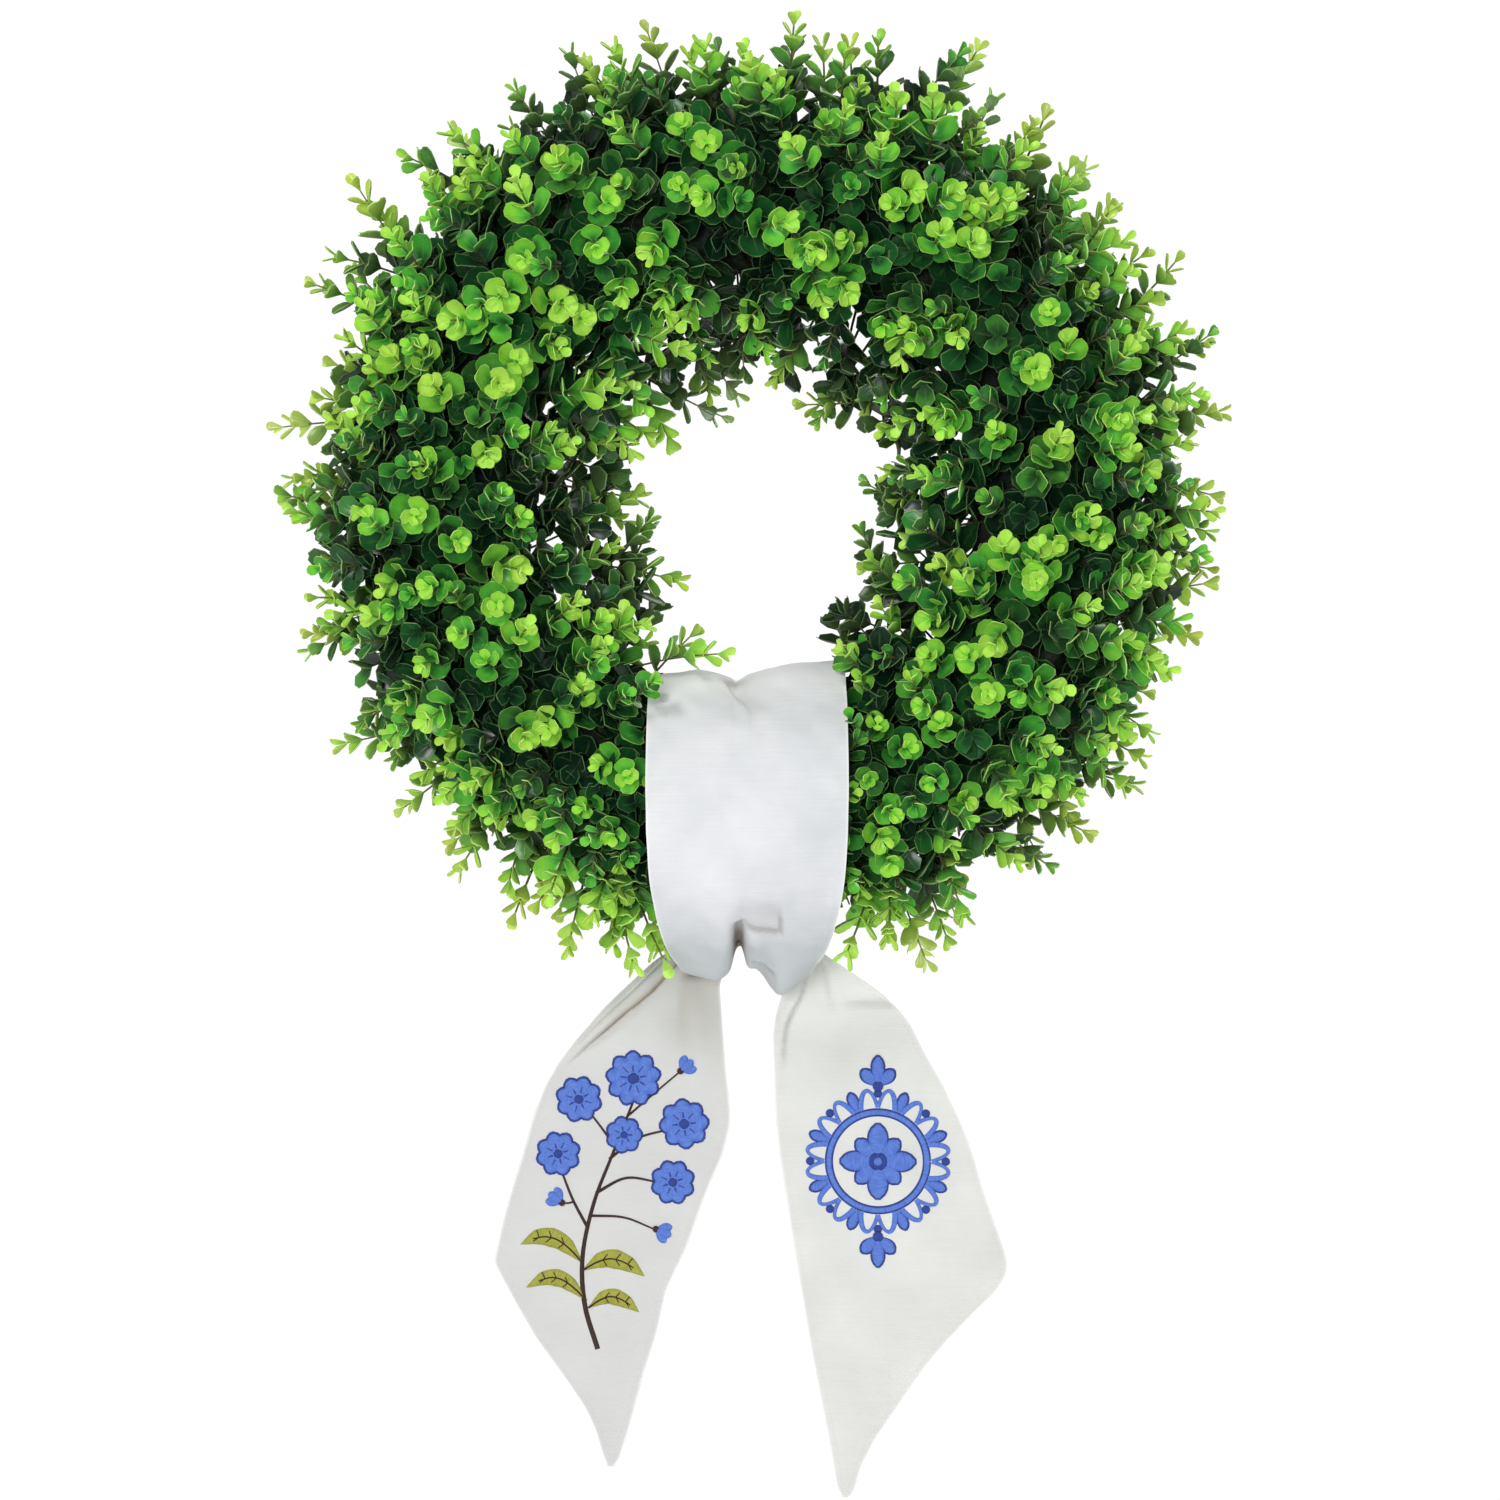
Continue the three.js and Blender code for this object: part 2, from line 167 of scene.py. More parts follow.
class Finish(Nodes):
    """A material, built node by node."""

    def __init__(self, name):
        self.material = bpy.data.materials.new(name)
        super().__init__(self.material)
        self.surface = self.tree.nodes["Principled BSDF"]

    def set(self, **sockets):
        for name, value in sockets.items():
            self.feed(self.surface.inputs[name.replace("_", " ")], value)

    def attribute(self, name, part):
        """One of the three parts of a value that the mesh holds at each point."""
        read = self.node("Attribute", {"attribute_name": name}, output="Vector")
        return self.node("SeparateXYZ", None, read, output=part)

    def mix(self, share, first, second):
        """A colour between two colours, which are the node's seventh and eighth sockets."""
        other_sockets = [None] * 5
        return self.node("Mix", {"data_type": "RGBA"}, share, *other_sockets, first, second, output=2)

    def noise(self, place, scale, detail=2.0):
        return self.node("TexNoise", None, Vector=place, Scale=scale, Detail=detail)

    def object_noise(self, scale, detail=2.0):
        return self.noise(self.node("TexCoord", output="Object"), scale, detail)

    def ramp(self, stops, place):
        return self.node("ValToRGB", {"stops": stops}, place)

    def bump(self, height, strength, distance):
        return self.node("Bump", None, Strength=strength, Distance=distance, Height=height, output="Normal")


def srgb(red, green, blue):
    """A colour given as on a screen, from 0 to 255, in linear light."""
    parts = [c / 255 for c in (red, green, blue)]
    return tuple(c / 12.92 if c <= 0.04045 else ((c + 0.055) / 1.055) ** 2.4 for c in parts)


# The depth of a fine grain, in metres, and lengths of thread and stitch, in millimetres.
FINE_GRAIN = 0.0004
WEAVE_PITCH = 0.62
HEM_STITCH = 2.4
SATIN_PITCH = 0.7


def turns(pitch):
    """Radians per millimetre of a wave with this pitch."""
    return 2 * math.pi / pitch


def leaf_finish():
    """Moulded leaf: lime tips, dark green below, a pale thin rim, and painted shade towards its base."""
    f = Finish("boxwood_leaf")
    age, chance, olive = (f.attribute("leaf_tone", part) for part in "XYZ")
    side, along, under = (f.attribute("leaf_place", part) for part in "XYZ")
    across = side.size()
    mottle = f.object_noise(260.0)
    # Painted shade: each leaf is darker towards its base and middle, where the next pair of leaves shades
    # it.
    painted_base_shade = (1 - along.between(0.05, 0.72)) * (1 - across.between(0.25, 0.95) * 0.6)
    tone = age + (chance - 0.5) * 0.2 + (mottle - 0.5) * 0.1 + painted_base_shade * 0.28 - 0.035
    greens = [
        (0.0, srgb(190, 242, 96)),
        (0.17, srgb(163, 232, 73)),
        (0.32, srgb(111, 207, 67)),
        (0.48, srgb(66, 159, 57)),
        (0.66, srgb(33, 92, 44)),
        (1.0, srgb(14, 44, 26)),
    ]
    olives = [
        (0.0, srgb(204, 222, 92)),
        (0.2, srgb(172, 204, 70)),
        (0.42, srgb(122, 164, 58)),
        (0.66, srgb(66, 98, 40)),
        (1.0, srgb(30, 48, 24)),
    ]
    body = f.mix(olive, f.ramp(greens, tone), f.ramp(olives, tone))
    vein = (1 - across.between(0.02, 0.12)) * (1 - along.between(0.6, 0.95)) * 0.1
    body = f.mix(vein, body, srgb(150, 196, 90))
    body = f.mix(under * 0.35, body, srgb(112, 140, 84))
    edge = f.node("Math", {"operation": "MAXIMUM"}, across.between(0.88, 0.975), along.between(0.96, 0.995))
    lit_side = (side * (chance - 0.5) * 6.0).between(-1.2, 0.8) * 0.75 + 0.25
    rim_colour = f.mix(tone.between(0.2, 0.9), srgb(214, 244, 140), srgb(106, 144, 94))
    colour = f.mix(edge * lit_side * (tone.between(0.1, 0.6) * 0.3 + 0.55), body, rim_colour)
    relief = mottle * 0.4 + (1 - across.between(0.0, 0.16)) * -1.0
    f.set(Base_Color=colour, Roughness=mottle * 0.16 + 0.18, Normal=f.bump(relief, 0.25, FINE_GRAIN))
    f.set(Specular_IOR_Level=0.42)
    return f.material


def stem_finish():
    """Thin moulded stems, brown below and green near the tips."""
    f = Finish("boxwood_stem")
    browns = [(0.0, srgb(120, 128, 58)), (0.3, srgb(74, 68, 40)), (1.0, srgb(34, 34, 22))]
    tone = f.ramp(browns, f.attribute("leaf_tone", "X"))
    f.set(Base_Color=tone, Roughness=0.6, Normal=f.bump(f.object_noise(700.0), 0.3, 0.0003))
    return f.material


def mat_finish():
    """The close-packed stem bases deep between the leaves, painted nearly black for the shade there."""
    f = Finish("stem_bases_painted_shade")
    strands = f.object_noise(420.0, 3.0)
    colour = f.mix(strands.between(0.35, 0.7), srgb(12, 22, 13), srgb(30, 46, 24))
    f.set(Base_Color=colour, Roughness=0.75, Normal=f.bump(strands, 0.8, 0.002))
    return f.material


def hoop_finish():
    """Dark green moulded plastic with a fine grain."""
    f = Finish("hoop_plastic")
    grain = f.object_noise(900.0)
    wear = f.object_noise(60.0, 4.0)
    colour = f.mix(wear.between(0.45, 0.75), srgb(28, 52, 32), srgb(44, 72, 44))
    f.set(Base_Color=colour, Roughness=wear * 0.2 + 0.42, Normal=f.bump(grain, 0.25, FINE_GRAIN))
    return f.material


def cloth_finish(name, light, shade, fold):
    """Off-white slub linen: fine weave, a few thicker threads across, and painted shade where it is dim."""
    f = Finish(name)
    across, along, painted_dimness = (f.attribute("weave_place", part) for part in "XYZ")
    painted_crease_shade, seam, painted_edge_highlight = (f.attribute("cloth_tone", part) for part in "XYZ")
    weave = (across * turns(WEAVE_PITCH)).wave() * (along * turns(WEAVE_PITCH)).wave()
    slubs = f.noise(f.node("CombineXYZ", None, across * 0.035, along * 1.1, 0.0), 1.0, 3.0)
    flecks = f.noise(f.node("CombineXYZ", None, across * 0.22, along * 1.8, 3.0), 1.0).between(0.66, 0.8)
    cloud = f.noise(f.node("CombineXYZ", None, across, along, 7.0), 0.03, 3.0)
    threads = weave * 0.04 + (slubs - 0.5) * 0.5 + flecks * 0.3
    # Painted shade where the dimness is high, and painted light where it is below nought.
    colour = f.mix((cloud - 0.5) * 0.7 + threads * 0.5 + 0.3 + painted_dimness, light, shade)
    # Painted shade in the creases, in the fold colour.
    colour = f.mix(painted_crease_shade, colour, fold)
    stitches = seam * (0.55 + (along * turns(HEM_STITCH)).wave() * 0.45)
    colour = f.mix(stitches * 0.25, colour, shade)
    # Painted highlight: a near-white line along the cloth's very edge.
    colour = f.mix(painted_edge_highlight * 0.8, colour, srgb(250, 250, 248))
    height = weave * 0.35 + slubs * 1.2 + flecks * 0.8 - stitches * 1.5
    f.set(Base_Color=colour, Roughness=0.92, Normal=f.bump(height, 0.35, FINE_GRAIN))
    f.set(Sheen_Weight=0.15, Sheen_Roughness=0.5)
    return f.material


def thread_finish(name, colour, dark, roughness):
    """Satin stitch: close parallel threads with a soft shine."""
    f = Finish(name)
    along, across, edge = (f.attribute("stitch_place", part) for part in "XYZ")
    strands = (along * turns(SATIN_PITCH)).wave()
    uneven = f.noise(f.node("CombineXYZ", None, along * 0.9, across * 0.25, 0.0), 1.0, 3.0)
    tone = uneven.between(0.3, 0.75) * 0.55 + edge * 0.45
    f.set(Base_Color=f.mix(tone, colour, dark), Roughness=roughness)
    f.set(Normal=f.bump(strands * 0.6 + uneven, 0.6, 0.0006))
    return f.material


class Shape:
    """Vertices, faces, materials and per-vertex values, gathered before they become a mesh."""

    def __init__(self):
        self.points = []
        self.faces = []
        self.finishes = []
        self.values = []
        self.count = 0

    def add(self, points, faces, finish=0, **values):
        """Adds points and faces, with each value given once or for every point."""
        points = np.asarray(points, float).reshape(-1, 3)
        faces = np.asarray(faces)
        self.points.append(points)
        self.faces.append(faces + self.count)
        self.finishes.append(np.full(len(faces), finish))
        self.values.append((len(points), values))
        self.count += len(points)

    def mesh(self, name, sharp_deg):
        data = bpy.data.meshes.new(name)
        faces = [face for block in self.faces for face in block.tolist()]
        data.from_pydata((np.concatenate(self.points) * MM).tolist(), [], faces)
        data.polygons.foreach_set("material_index", np.concatenate(self.finishes).astype(np.int32))
        data.polygons.foreach_set("use_smooth", np.ones(len(faces), bool))
        for key in sorted({key for _, values in self.values for key in values}):
            blocks = [
                np.broadcast_to(values.get(key, (0.0, 0.0, 0.0)), (count, 3))
                for count, values in self.values
            ]
            layer = data.attributes.new(key, "FLOAT_VECTOR", "POINT")
            layer.data.foreach_set("vector", np.concatenate(blocks).astype(np.float32).ravel())
        data.validate()
        data.update()
        data.set_sharp_from_angle(angle=math.radians(sharp_deg))
        return data

    def piece(self, name, finishes, slot, replaced, sharp_deg):
        """The finished object on its body, in place of the plain solids that it replaces."""
        data = self.mesh(name, sharp_deg)
        for finish in finishes:
            data.materials.append(finish)
        made = bpy.data.objects.new(name, data)
        bpy.context.scene.collection.objects.link(made)
        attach(made, "root")
        if replaced:
            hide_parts(*replaced)
        return made


def sheet_faces(rows, columns):
    """Faces of a closed sheet: a front grid, a back grid after it, and the rim between them."""
    index = np.arange(rows * columns).reshape(rows, columns)
    a, b, c, d = index[:-1, :-1], index[:-1, 1:], index[1:, 1:], index[1:, :-1]
    front = np.stack([a, b, c, d], -1).reshape(-1, 4)
    back = front[:, ::-1] + rows * columns
    rim = np.concatenate([index[0, :-1], index[:-1, -1], index[-1, :0:-1], index[:0:-1, 0]])
    ahead = np.roll(rim, -1)
    sides = np.stack([ahead, rim, rim + rows * columns, ahead + rows * columns], -1)
    return np.concatenate([front, back, sides])


def grid_normals(grid):
    """Unit normals of a grid of points."""
    down = np.gradient(grid, axis=0)
    over = np.gradient(grid, axis=1)
    normal = np.cross(over, down)
    return normal / np.maximum(np.linalg.norm(normal, axis=-1, keepdims=True), 1e-9)


def curve_at(points, places):
    """A smooth curve through points, read at places that count up from 0 at its first point."""
    points = np.asarray(points, float)
    padded = np.concatenate([[2 * points[0] - points[1]], points, [2 * points[-1] - points[-2]]])
    i = np.minimum(places.astype(int), len(points) - 2)
    t = (places - i)[:, None]
    p0, p1, p2, p3 = (padded[i + k] for k in range(4))
    square, cube = 2 * p0 - 5 * p1 + 4 * p2 - p3, 3 * p1 - p0 - 3 * p2 + p3
    return 0.5 * (2 * p1 + (p2 - p0) * t + square * t**2 + cube * t**3)


def smooth_line(points, count):
    """A smooth curve through points, in even steps."""
    return curve_at(points, np.linspace(0, len(points) - 1, count + 1))


# The band's section round the ring's lower end: [below the hoop's centre, in front of it, half width].
BAND_PATH = [
    [38, -2.5, 17], [0, -5.4, 40], [-36, -5.3, 48], [-53, -4.8, 49], [-63, 4, 50], [-67, 24, 51],
    [-59, 50, 51], [-34, 74, 51.5], [4, 83, 51.5], [42, 75, 49.5], [73, 54, 43], [94, 30, 33],
    [87, 14, 27], [70, 7, 24], [50, 4.7, 20],
]
# The band's middle is a little left of the ring's.
BAND_X = -2.5
# The band's top edge: [place from its left side to its right, height over its mean].
BAND_TOP = [
    [-1, -2.4], [-0.8, -1], [-0.5, 0.5], [-0.2, -3.6], [-0.11, -5.8], [0.05, -1.6], [0.3, 2.2],
    [0.6, 4.6], [1, 6.4],
]
# The band's lower edge: [place from the middle, height over the plain path].
BAND_BOTTOM = [
    [-36, 7], [-26, 3.2], [-16, 1.2], [-10, 5.5], [-4.4, 13], [0.5, 8.4], [4.8, 7.0], [8.6, 3.4],
    [13, -3.2], [17, -6.2], [22, -4.8], [28, 0.5], [36, 8],
]
# The band's rows lie closer where its folds are: [place on its path, rows up to there].
BAND_ROW_PLACES = [[0, 0], [4, 18], [6.6, 56], [9, 80], [11.2, 164], [12, 174], [14, 184]]
BAND_ROWS = 184
BAND_COLUMNS = 84
BAND_THICKNESS = 1.5
BAND_BACK_Y = -1.3


def tube_angle(below, front):
    """The angle round the hoop, in degrees: 0 away from the ring's middle, 90 in front, 180 inward."""
    phi = np.degrees(np.arctan2(front, below))
    return np.where(phi < -90, phi + 360, phi)


band_places = np.interp(np.arange(BAND_ROWS + 1), *np.array(BAND_ROW_PLACES, float).T[::-1])
band_line = curve_at(BAND_PATH, band_places)
band_angles = tube_angle(band_line[:, 0], band_line[:, 1])
band_reaches = np.hypot(band_line[:, 0], band_line[:, 1])
band_order = np.argsort(band_angles)
band_crest = smooth_line(BAND_TOP, 60)


def band_reach(phi):
    """How far the band lies from the hoop's centre line, at a tube angle at the ring's lower end."""
    return np.interp(phi, band_angles[band_order], band_reaches[band_order])


def band_half_width(phi):
    """Half the band's width at a tube angle."""
    return np.interp(phi, band_angles[band_order], band_line[band_order, 2])


def band_rise(place, phi):
    """The height of the band's top edge over its mean, from its left side at -1 to its right at 1."""
    return bell(phi, 158, 34) * np.interp(place, band_crest[:, 0], band_crest[:, 1])


def gather_depth(x, phi):
    """How deep the tied-in middle of the band's lower end lies below its face."""
    slit = ease(-phi, -47, -41) * ease(phi, -2, 4) * np.exp(-(((x + 4.4) / 3.9) ** 4))
    return 9.5 * slit + 2.2 * bell(x, -4.6, 3.2) * bell(phi, 48, 5)


# Each pair of leaves on a tall sprig and on a deep one: [distance below the tip, length, width, angle
# from the stem in degrees, age].
LEAF_PAIRS = np.array([
    [0.0, 8.4, 5.6, 38, 0.0],
    [5.2, 9.8, 7.6, 50, 0.12],
    [12.0, 12.4, 11.0, 57, 0.28],
    [20.0, 15.2, 14.6, 62, 0.46],
    [29.0, 17.2, 17.0, 67, 0.7],
    [38.5, 17.6, 17.4, 76, 0.95],
])
DEEP_LEAF_PAIRS = np.array([
    [0.0, 13.0, 11.5, 48, 0.66],
    [8.0, 16.0, 15.5, 60, 0.86],
    [17.0, 17.0, 16.5, 74, 1.0],
])
# Each leaf's outline: shares of its width at steps along it, when young and when old, and the places of
# its columns of points, from its left edge at -1 to its right at 1.
LEAF_STEPS = np.array([0.0, 0.18, 0.40, 0.64, 0.86, 1.0])
YOUNG_WIDTHS = np.array([0.12, 0.28, 0.60, 0.96, 0.92, 0.36])
OLD_WIDTHS = np.array([0.10, 0.34, 0.88, 1.0, 0.80, 0.26])
LEAF_COLUMNS = np.array([-1.0, -0.42, 0.42, 1.0])
DEEP_LEAF_STEPS = np.array([0.0, 0.3, 0.7, 1.0])
DEEP_WIDTHS = np.array([0.12, 0.78, 0.98, 0.34])
DEEP_LEAF_COLUMNS = np.array([-1.0, 0.0, 1.0])
LEAF_THICKNESS = 0.5
# The stems start at the hoop and thin towards their tips.
STEM_START = 8.0
STEM_RADII = [1.0, 0.55]
STEM_SIDES = 4
STEM_RINGS = 9
# Rows of sprigs at angles round the hoop, tall ones and deep ones, with their spacing and mean reach.
SPRIG_ROW_ANGLES = [4, 19, 35, 51, 67, 83, 99, 115, 131, 147, 163, 176]
SPRIG_SPACING = 25.5
REACH = 92.0
DEEP_ROW_ANGLES = [2, 24, 47, 70, 93, 116, 139, 160, 178]
DEEP_SPACING = 26.0
DEEP_REACH = 61.0
# In each 15 degrees of the ring: the hole's radius, and how much further the outer sprigs reach.
GAIN_ANGLES = 7.5 + 15 * np.arange(24)
HOLE_RADII = [66, 58, 81, 50, 55, 78, 58, 53, 56, 59, 63, 51, 58, 54, 34, 85, 76, 95, 95, 95, 86, 92, 54, 60]
OUTER_GAINS = [11, -1, 1, 3, 4, -2, -4, 2, 8, 6, 2, -1, -10, 0, -4, 0, 0, 0, 0, 2, 4, -3, 1, -8]
# How much darker the leaves are in each 30 degrees of the ring.
TONE_ANGLES = 15 + 30 * np.arange(12)
RING_TONES = [0.08, 0, 0.02, 0.13, -0.07, -0.07, 0.05, -0.06, 0.26, 0.18, 0.07, -0.08]
# Sprigs beside the sash, and two in gaps: [angle round the ring, angle round the hoop, reach, lean].
PLACED_SPRIGS = [
    [228, 148, 101, 34], [237, 122, 92, 10], [305, 135, 92, -8], [220, 118, 88, 18],
    [249, 30, 73, 31], [248.5, 50, 66, 12], [290, 30, 70, -24], [299.5, 148, 54, 0],
    [246.5, 90, 84, 0], [248, 68, 82, 0], [245.5, 112, 84, 0],
    [292, 90, 84, 0], [290.5, 68, 82, 0], [293.5, 112, 84, 0],
    [72, 86, 80, 0], [319.5, 90, 78, 0],
    [249, 30, 95, 40], [248, 26, 99, 28], [245, 20, 100, 10],
    [291, 30, 92, -38], [292, 28, 90, -20], [295, 18, 96, -4],
]
# Leaves nearer to the door than this are bent along it, and keep a little off it.
DOOR_SQUASH = 10.0
DOOR_GAP = 0.6
# The mat of stem bases reaches this far from the hoop's centre line.
MAT_REACH = 40
# What each draw decides, for a sprig, a pair of leaves, a leaf or a row.
REACH_DRAW, ALONG_DRAW, ACROSS_DRAW, SIZE_DRAW, TWIST_DRAW, PAIR_TWIST_DRAW = range(1, 7)
LEAF_SIZE_DRAW, BEND_DRAW, ROLL_DRAW = range(7, 10)
ROW_START_DRAW, PLACE_DRAW, ANGLE_DRAW, OLIVE_DRAW, BLEACHED_DRAW, DULL_DRAW, STRAY_DRAW = range(11, 18)


class LeafGrid:
    """The points over one leaf of length and width 1, with their attributes and faces."""

    def __init__(self, steps, columns, young, old):
        along, across = np.meshgrid(steps, columns, indexing="ij")
        self.along = along.ravel()
        self.young = (across * young[:, None] / 2).ravel()
        self.old = (across * old[:, None] / 2).ravel()
        self.cup = (0.2 * across**2 * old[:, None] + 0.03 * np.abs(across)).ravel()
        place = np.stack([across, along, np.zeros_like(along)], -1).reshape(-1, 3)
        self.place = np.concatenate([place, place + (0, 0, 1)])
        self.faces = sheet_faces(*along.shape)


LEAF = LeafGrid(LEAF_STEPS, LEAF_COLUMNS, YOUNG_WIDTHS, OLD_WIDTHS)
DEEP_LEAF = LeafGrid(DEEP_LEAF_STEPS, DEEP_LEAF_COLUMNS, DEEP_WIDTHS, DEEP_WIDTHS)


def unit(vector):
    return vector / np.linalg.norm(vector, axis=-1, keepdims=True)


def outward_at(theta):
    """The direction away from the ring's middle at an angle round it."""
    return np.array([math.cos(theta), 0, math.sin(theta)])


def on_ring(theta, out, y):
    """Points at an angle round the ring, from their distances out from the hoop's centre line."""
    return outward_at(theta) * (HOOP_RADIUS + out)[:, None] + np.stack([0 * y, y, 0 * y + RING_Z], -1)


def against_door(points):
    """Bends what would reach the door so that it lies along it."""
    y = points[..., 1]
    over = np.maximum(y + DOOR_SQUASH, 0)
    room = DOOR_SQUASH - DOOR_GAP
    points[..., 1] = np.where(y > -DOOR_SQUASH, -DOOR_SQUASH + room * (1 - np.exp(-over / room)), y)
    return points


def tube_place(points):
    """The angle round the hoop and the distance from its centre line, at the ring's lower end."""
    below = HOOP_LOW_Z - points[..., 2]
    front = HOOP_Y - points[..., 1]
    return tube_angle(below, front), np.hypot(below, front)


def meets_sash(leaves, from_inside):
    """Which leaves would pass through the band, the knot or the tops of the tails."""
    phi, reach = tube_place(leaves)
    x = leaves[..., 0] - BAND_X
    z = leaves[..., 2] - RING_Z
    at_band = (z < -60) & (np.abs(x) < band_half_width(phi) + 1.5)
    in_band = at_band & (reach > band_reach(phi) - 3.5 - gather_depth(x, phi) * 1.1)
    if not from_inside:
        in_band &= reach < band_reach(phi) + 2.5 + np.maximum(band_rise(x / band_half_width(phi), phi), 0)
    behind = (z < -190) & (np.abs(leaves[..., 0]) < 30 + (-z - 190) * 0.9) & (leaves[..., 1] > -14)
    return (in_band | behind).any(-1)


def sprig_lean(number, phi):
    """How far a sprig's tip strays along the ring and across it."""
    spread = 42 + 18 * ease(math.sin(phi), 0.7, 1.0)
    return [spread * (draw(number, purpose) - 0.5) for purpose in (ALONG_DRAW, ACROSS_DRAW)]


def stem_sway(distance):
    """The share of its tip's lean that a stem has at a distance along it."""
    return (distance - STEM_START) / (REACH - STEM_START)


def hole_reach(number, theta, phi):
    """How far a sprig can grow before its tip meets the edge of the ring's hole."""
    along, across = sprig_lean(number, phi)
    reaches = np.linspace(50, 130, 81)
    strayed = stem_sway(reaches) ** 2
    radius = HOOP_RADIUS + reaches * math.cos(phi) - across * math.sin(phi) * strayed
    turn = np.degrees(theta + np.arctan2(along * strayed, radius))
    edge = np.interp(turn, GAIN_ANGLES, HOLE_RADII, period=360) - 6 + 20 * draw(number, REACH_DRAW)
    past = np.hypot(radius, along * strayed) < edge
    return reaches[np.argmax(past)] if past.any() else reaches[-1]


def sprig_reach(number, theta, phi):
    """How far a tall sprig's tip is from the hoop's centre line, less in front and more at the sides."""
    sideways = abs(math.cos(phi))
    inner = ease(-math.cos(phi), 0.3, 0.95)
    outer = ease(math.cos(phi), 0.5, 0.95)
    unevenness = 10 + (18 - 8 * inner) * sideways
    reach = REACH - 9.5 * math.sin(phi) + 4 - unevenness * draw(number, REACH_DRAW)
    reach += 8 * inner + 5 * max(math.sin(theta), 0)
    reach += outer * np.interp(math.degrees(theta), GAIN_ANGLES, OUTER_GAINS, period=360)
    reach += outer * 9 * draw(number, STRAY_DRAW) ** 3
    limit = hole_reach(number, theta, phi)
    return min(reach + ease(-math.cos(phi), 0.85, 0.96) * (limit - reach), limit)


def grow_leaves(number, pairs, size, root, direction, side, leaf):
    """The points, ages and chances of a sprig's leaves, in pairs that each turn a quarter further."""
    order = np.arange(len(pairs))
    twist = 2 * math.pi * draw(number, TWIST_DRAW) + order * math.pi / 2
    twist = twist + 0.5 * (draw(number * 11 + order, PAIR_TWIST_DRAW) - 0.5)
    first = unit(np.cross(direction, side))
    second = np.cross(direction, first)
    grown = ease(pairs[:, 4], 0.1, 0.5)[:, None]
    leaves = []
    for sign in (1, -1):
        leaf_number = number * 31 + order * 2 + sign
        draws = (LEAF_SIZE_DRAW, BEND_DRAW, ROLL_DRAW)
        chance, bend, turn = (draw(leaf_number, purpose) for purpose in draws)
        out = sign * (first * np.cos(twist)[:, None] + second * np.sin(twist)[:, None])
        angle = np.radians(pairs[:, 3] + 22 * (bend - 0.5))[:, None]
        along = direction * np.cos(angle) + out * np.sin(angle)
        up = direction * np.sin(angle) - out * np.cos(angle)
        across = np.cross(along, up)
        roll = (0.5 * (turn - 0.5))[:, None]
        cos, sin = np.cos(roll), np.sin(roll)
        across, up = across * cos + up * sin, up * cos - across * sin
        length, width = pairs.T[1:3, :, None] * size * (0.92 + 0.16 * chance)[:, None]
        x = leaf.along * length
        y = (leaf.young * (1 - grown) + leaf.old * grown) * width
        arch = (0.10 + 0.18 * bend)[:, None]
        z = leaf.cup * width + arch * leaf.along**2 * length
        base = root[:, None] + along[:, None] * x[..., None] + across[:, None] * y[..., None]
        top = base + up[:, None] * z[..., None]
        bottom = top - up[:, None] * LEAF_THICKNESS
        leaves.append((against_door(np.concatenate([top, bottom], 1)), pairs[:, 4], chance))
    return [np.concatenate(part) for part in zip(*leaves)]


def grow_sprig(number, theta, phi, reach, pairs, leaf, lean=None):
    """The leaves of a sprig, with their ages and chances, and its stem's line, clear of the sash."""
    outward = outward_at(theta)
    tangent = np.array([-math.sin(theta), 0, math.cos(theta)])
    foot = outward * HOOP_RADIUS + (0, HOOP_Y, RING_Z)
    axis = outward * math.cos(phi) + np.array([0, -math.sin(phi), 0])
    side = np.cross(axis, tangent)
    tip = foot + axis * reach
    half = band_half_width(math.degrees(phi)) + 3
    low = tip[2] - RING_Z < -72 or (foot[2] < RING_Z and abs(foot[0] - BAND_X) < half)
    under_sash = lean is None and low and abs(tip[0] - BAND_X) < half
    if under_sash:
        reach = min(reach, band_reach(math.degrees(phi)) - 9)
    if lean is None:
        along, across = sprig_lean(number, phi)
        sway = tangent * along + side * across
    else:
        sway = tangent * lean
    size = 0.86 + 0.3 * draw(number, SIZE_DRAW)
    slim = ease(abs(math.cos(phi)), 0.6, 1.0)
    pairs = pairs * (1 + 0.2 * slim, 1 + 0.04 * slim, 1 - 0.12 * slim, 1, 1)

    def stem_at(distance):
        t = stem_sway(distance)[:, None]
        heading = unit(axis + 2 * sway * t / (REACH - STEM_START))
        return foot + axis * distance[:, None] + sway * t**2, heading

    pairs = pairs[reach - pairs[:, 0] * size > STEM_START + 6]
    distance = reach - pairs[:, 0] * size
    root, direction = stem_at(distance)
    points, age, chance = grow_leaves(number, pairs, size, root, direction, side, leaf)
    tries = np.linspace(STEM_START, reach, 25)
    blocked = meets_sash(stem_at(tries)[0][:, None], under_sash)
    end = tries[max(np.argmax(blocked) - 1, 1)] if blocked.any() else reach
    keep = np.tile(distance <= end + 0.1, 2) & ~meets_sash(points, under_sash)
    spine, _ = stem_at(np.linspace(STEM_START, end, STEM_RINGS))
    return points[keep], age[keep], chance[keep], against_door(spine)


def tube_faces(rings, sides):
    """Faces of a tube of rings of points, and of the caps at its ends."""
    faces = []
    for i in range(rings - 1):
        for j in range(sides):
            k = (j + 1) % sides
            faces.append([i * sides + j, i * sides + k, (i + 1) * sides + k, (i + 1) * sides + j])
    caps = [list(range(sides))[::-1], list(range((rings - 1) * sides, rings * sides))]
    return faces, caps


STEM_FACES = np.array(sum(tube_faces(STEM_RINGS, STEM_SIDES), []))


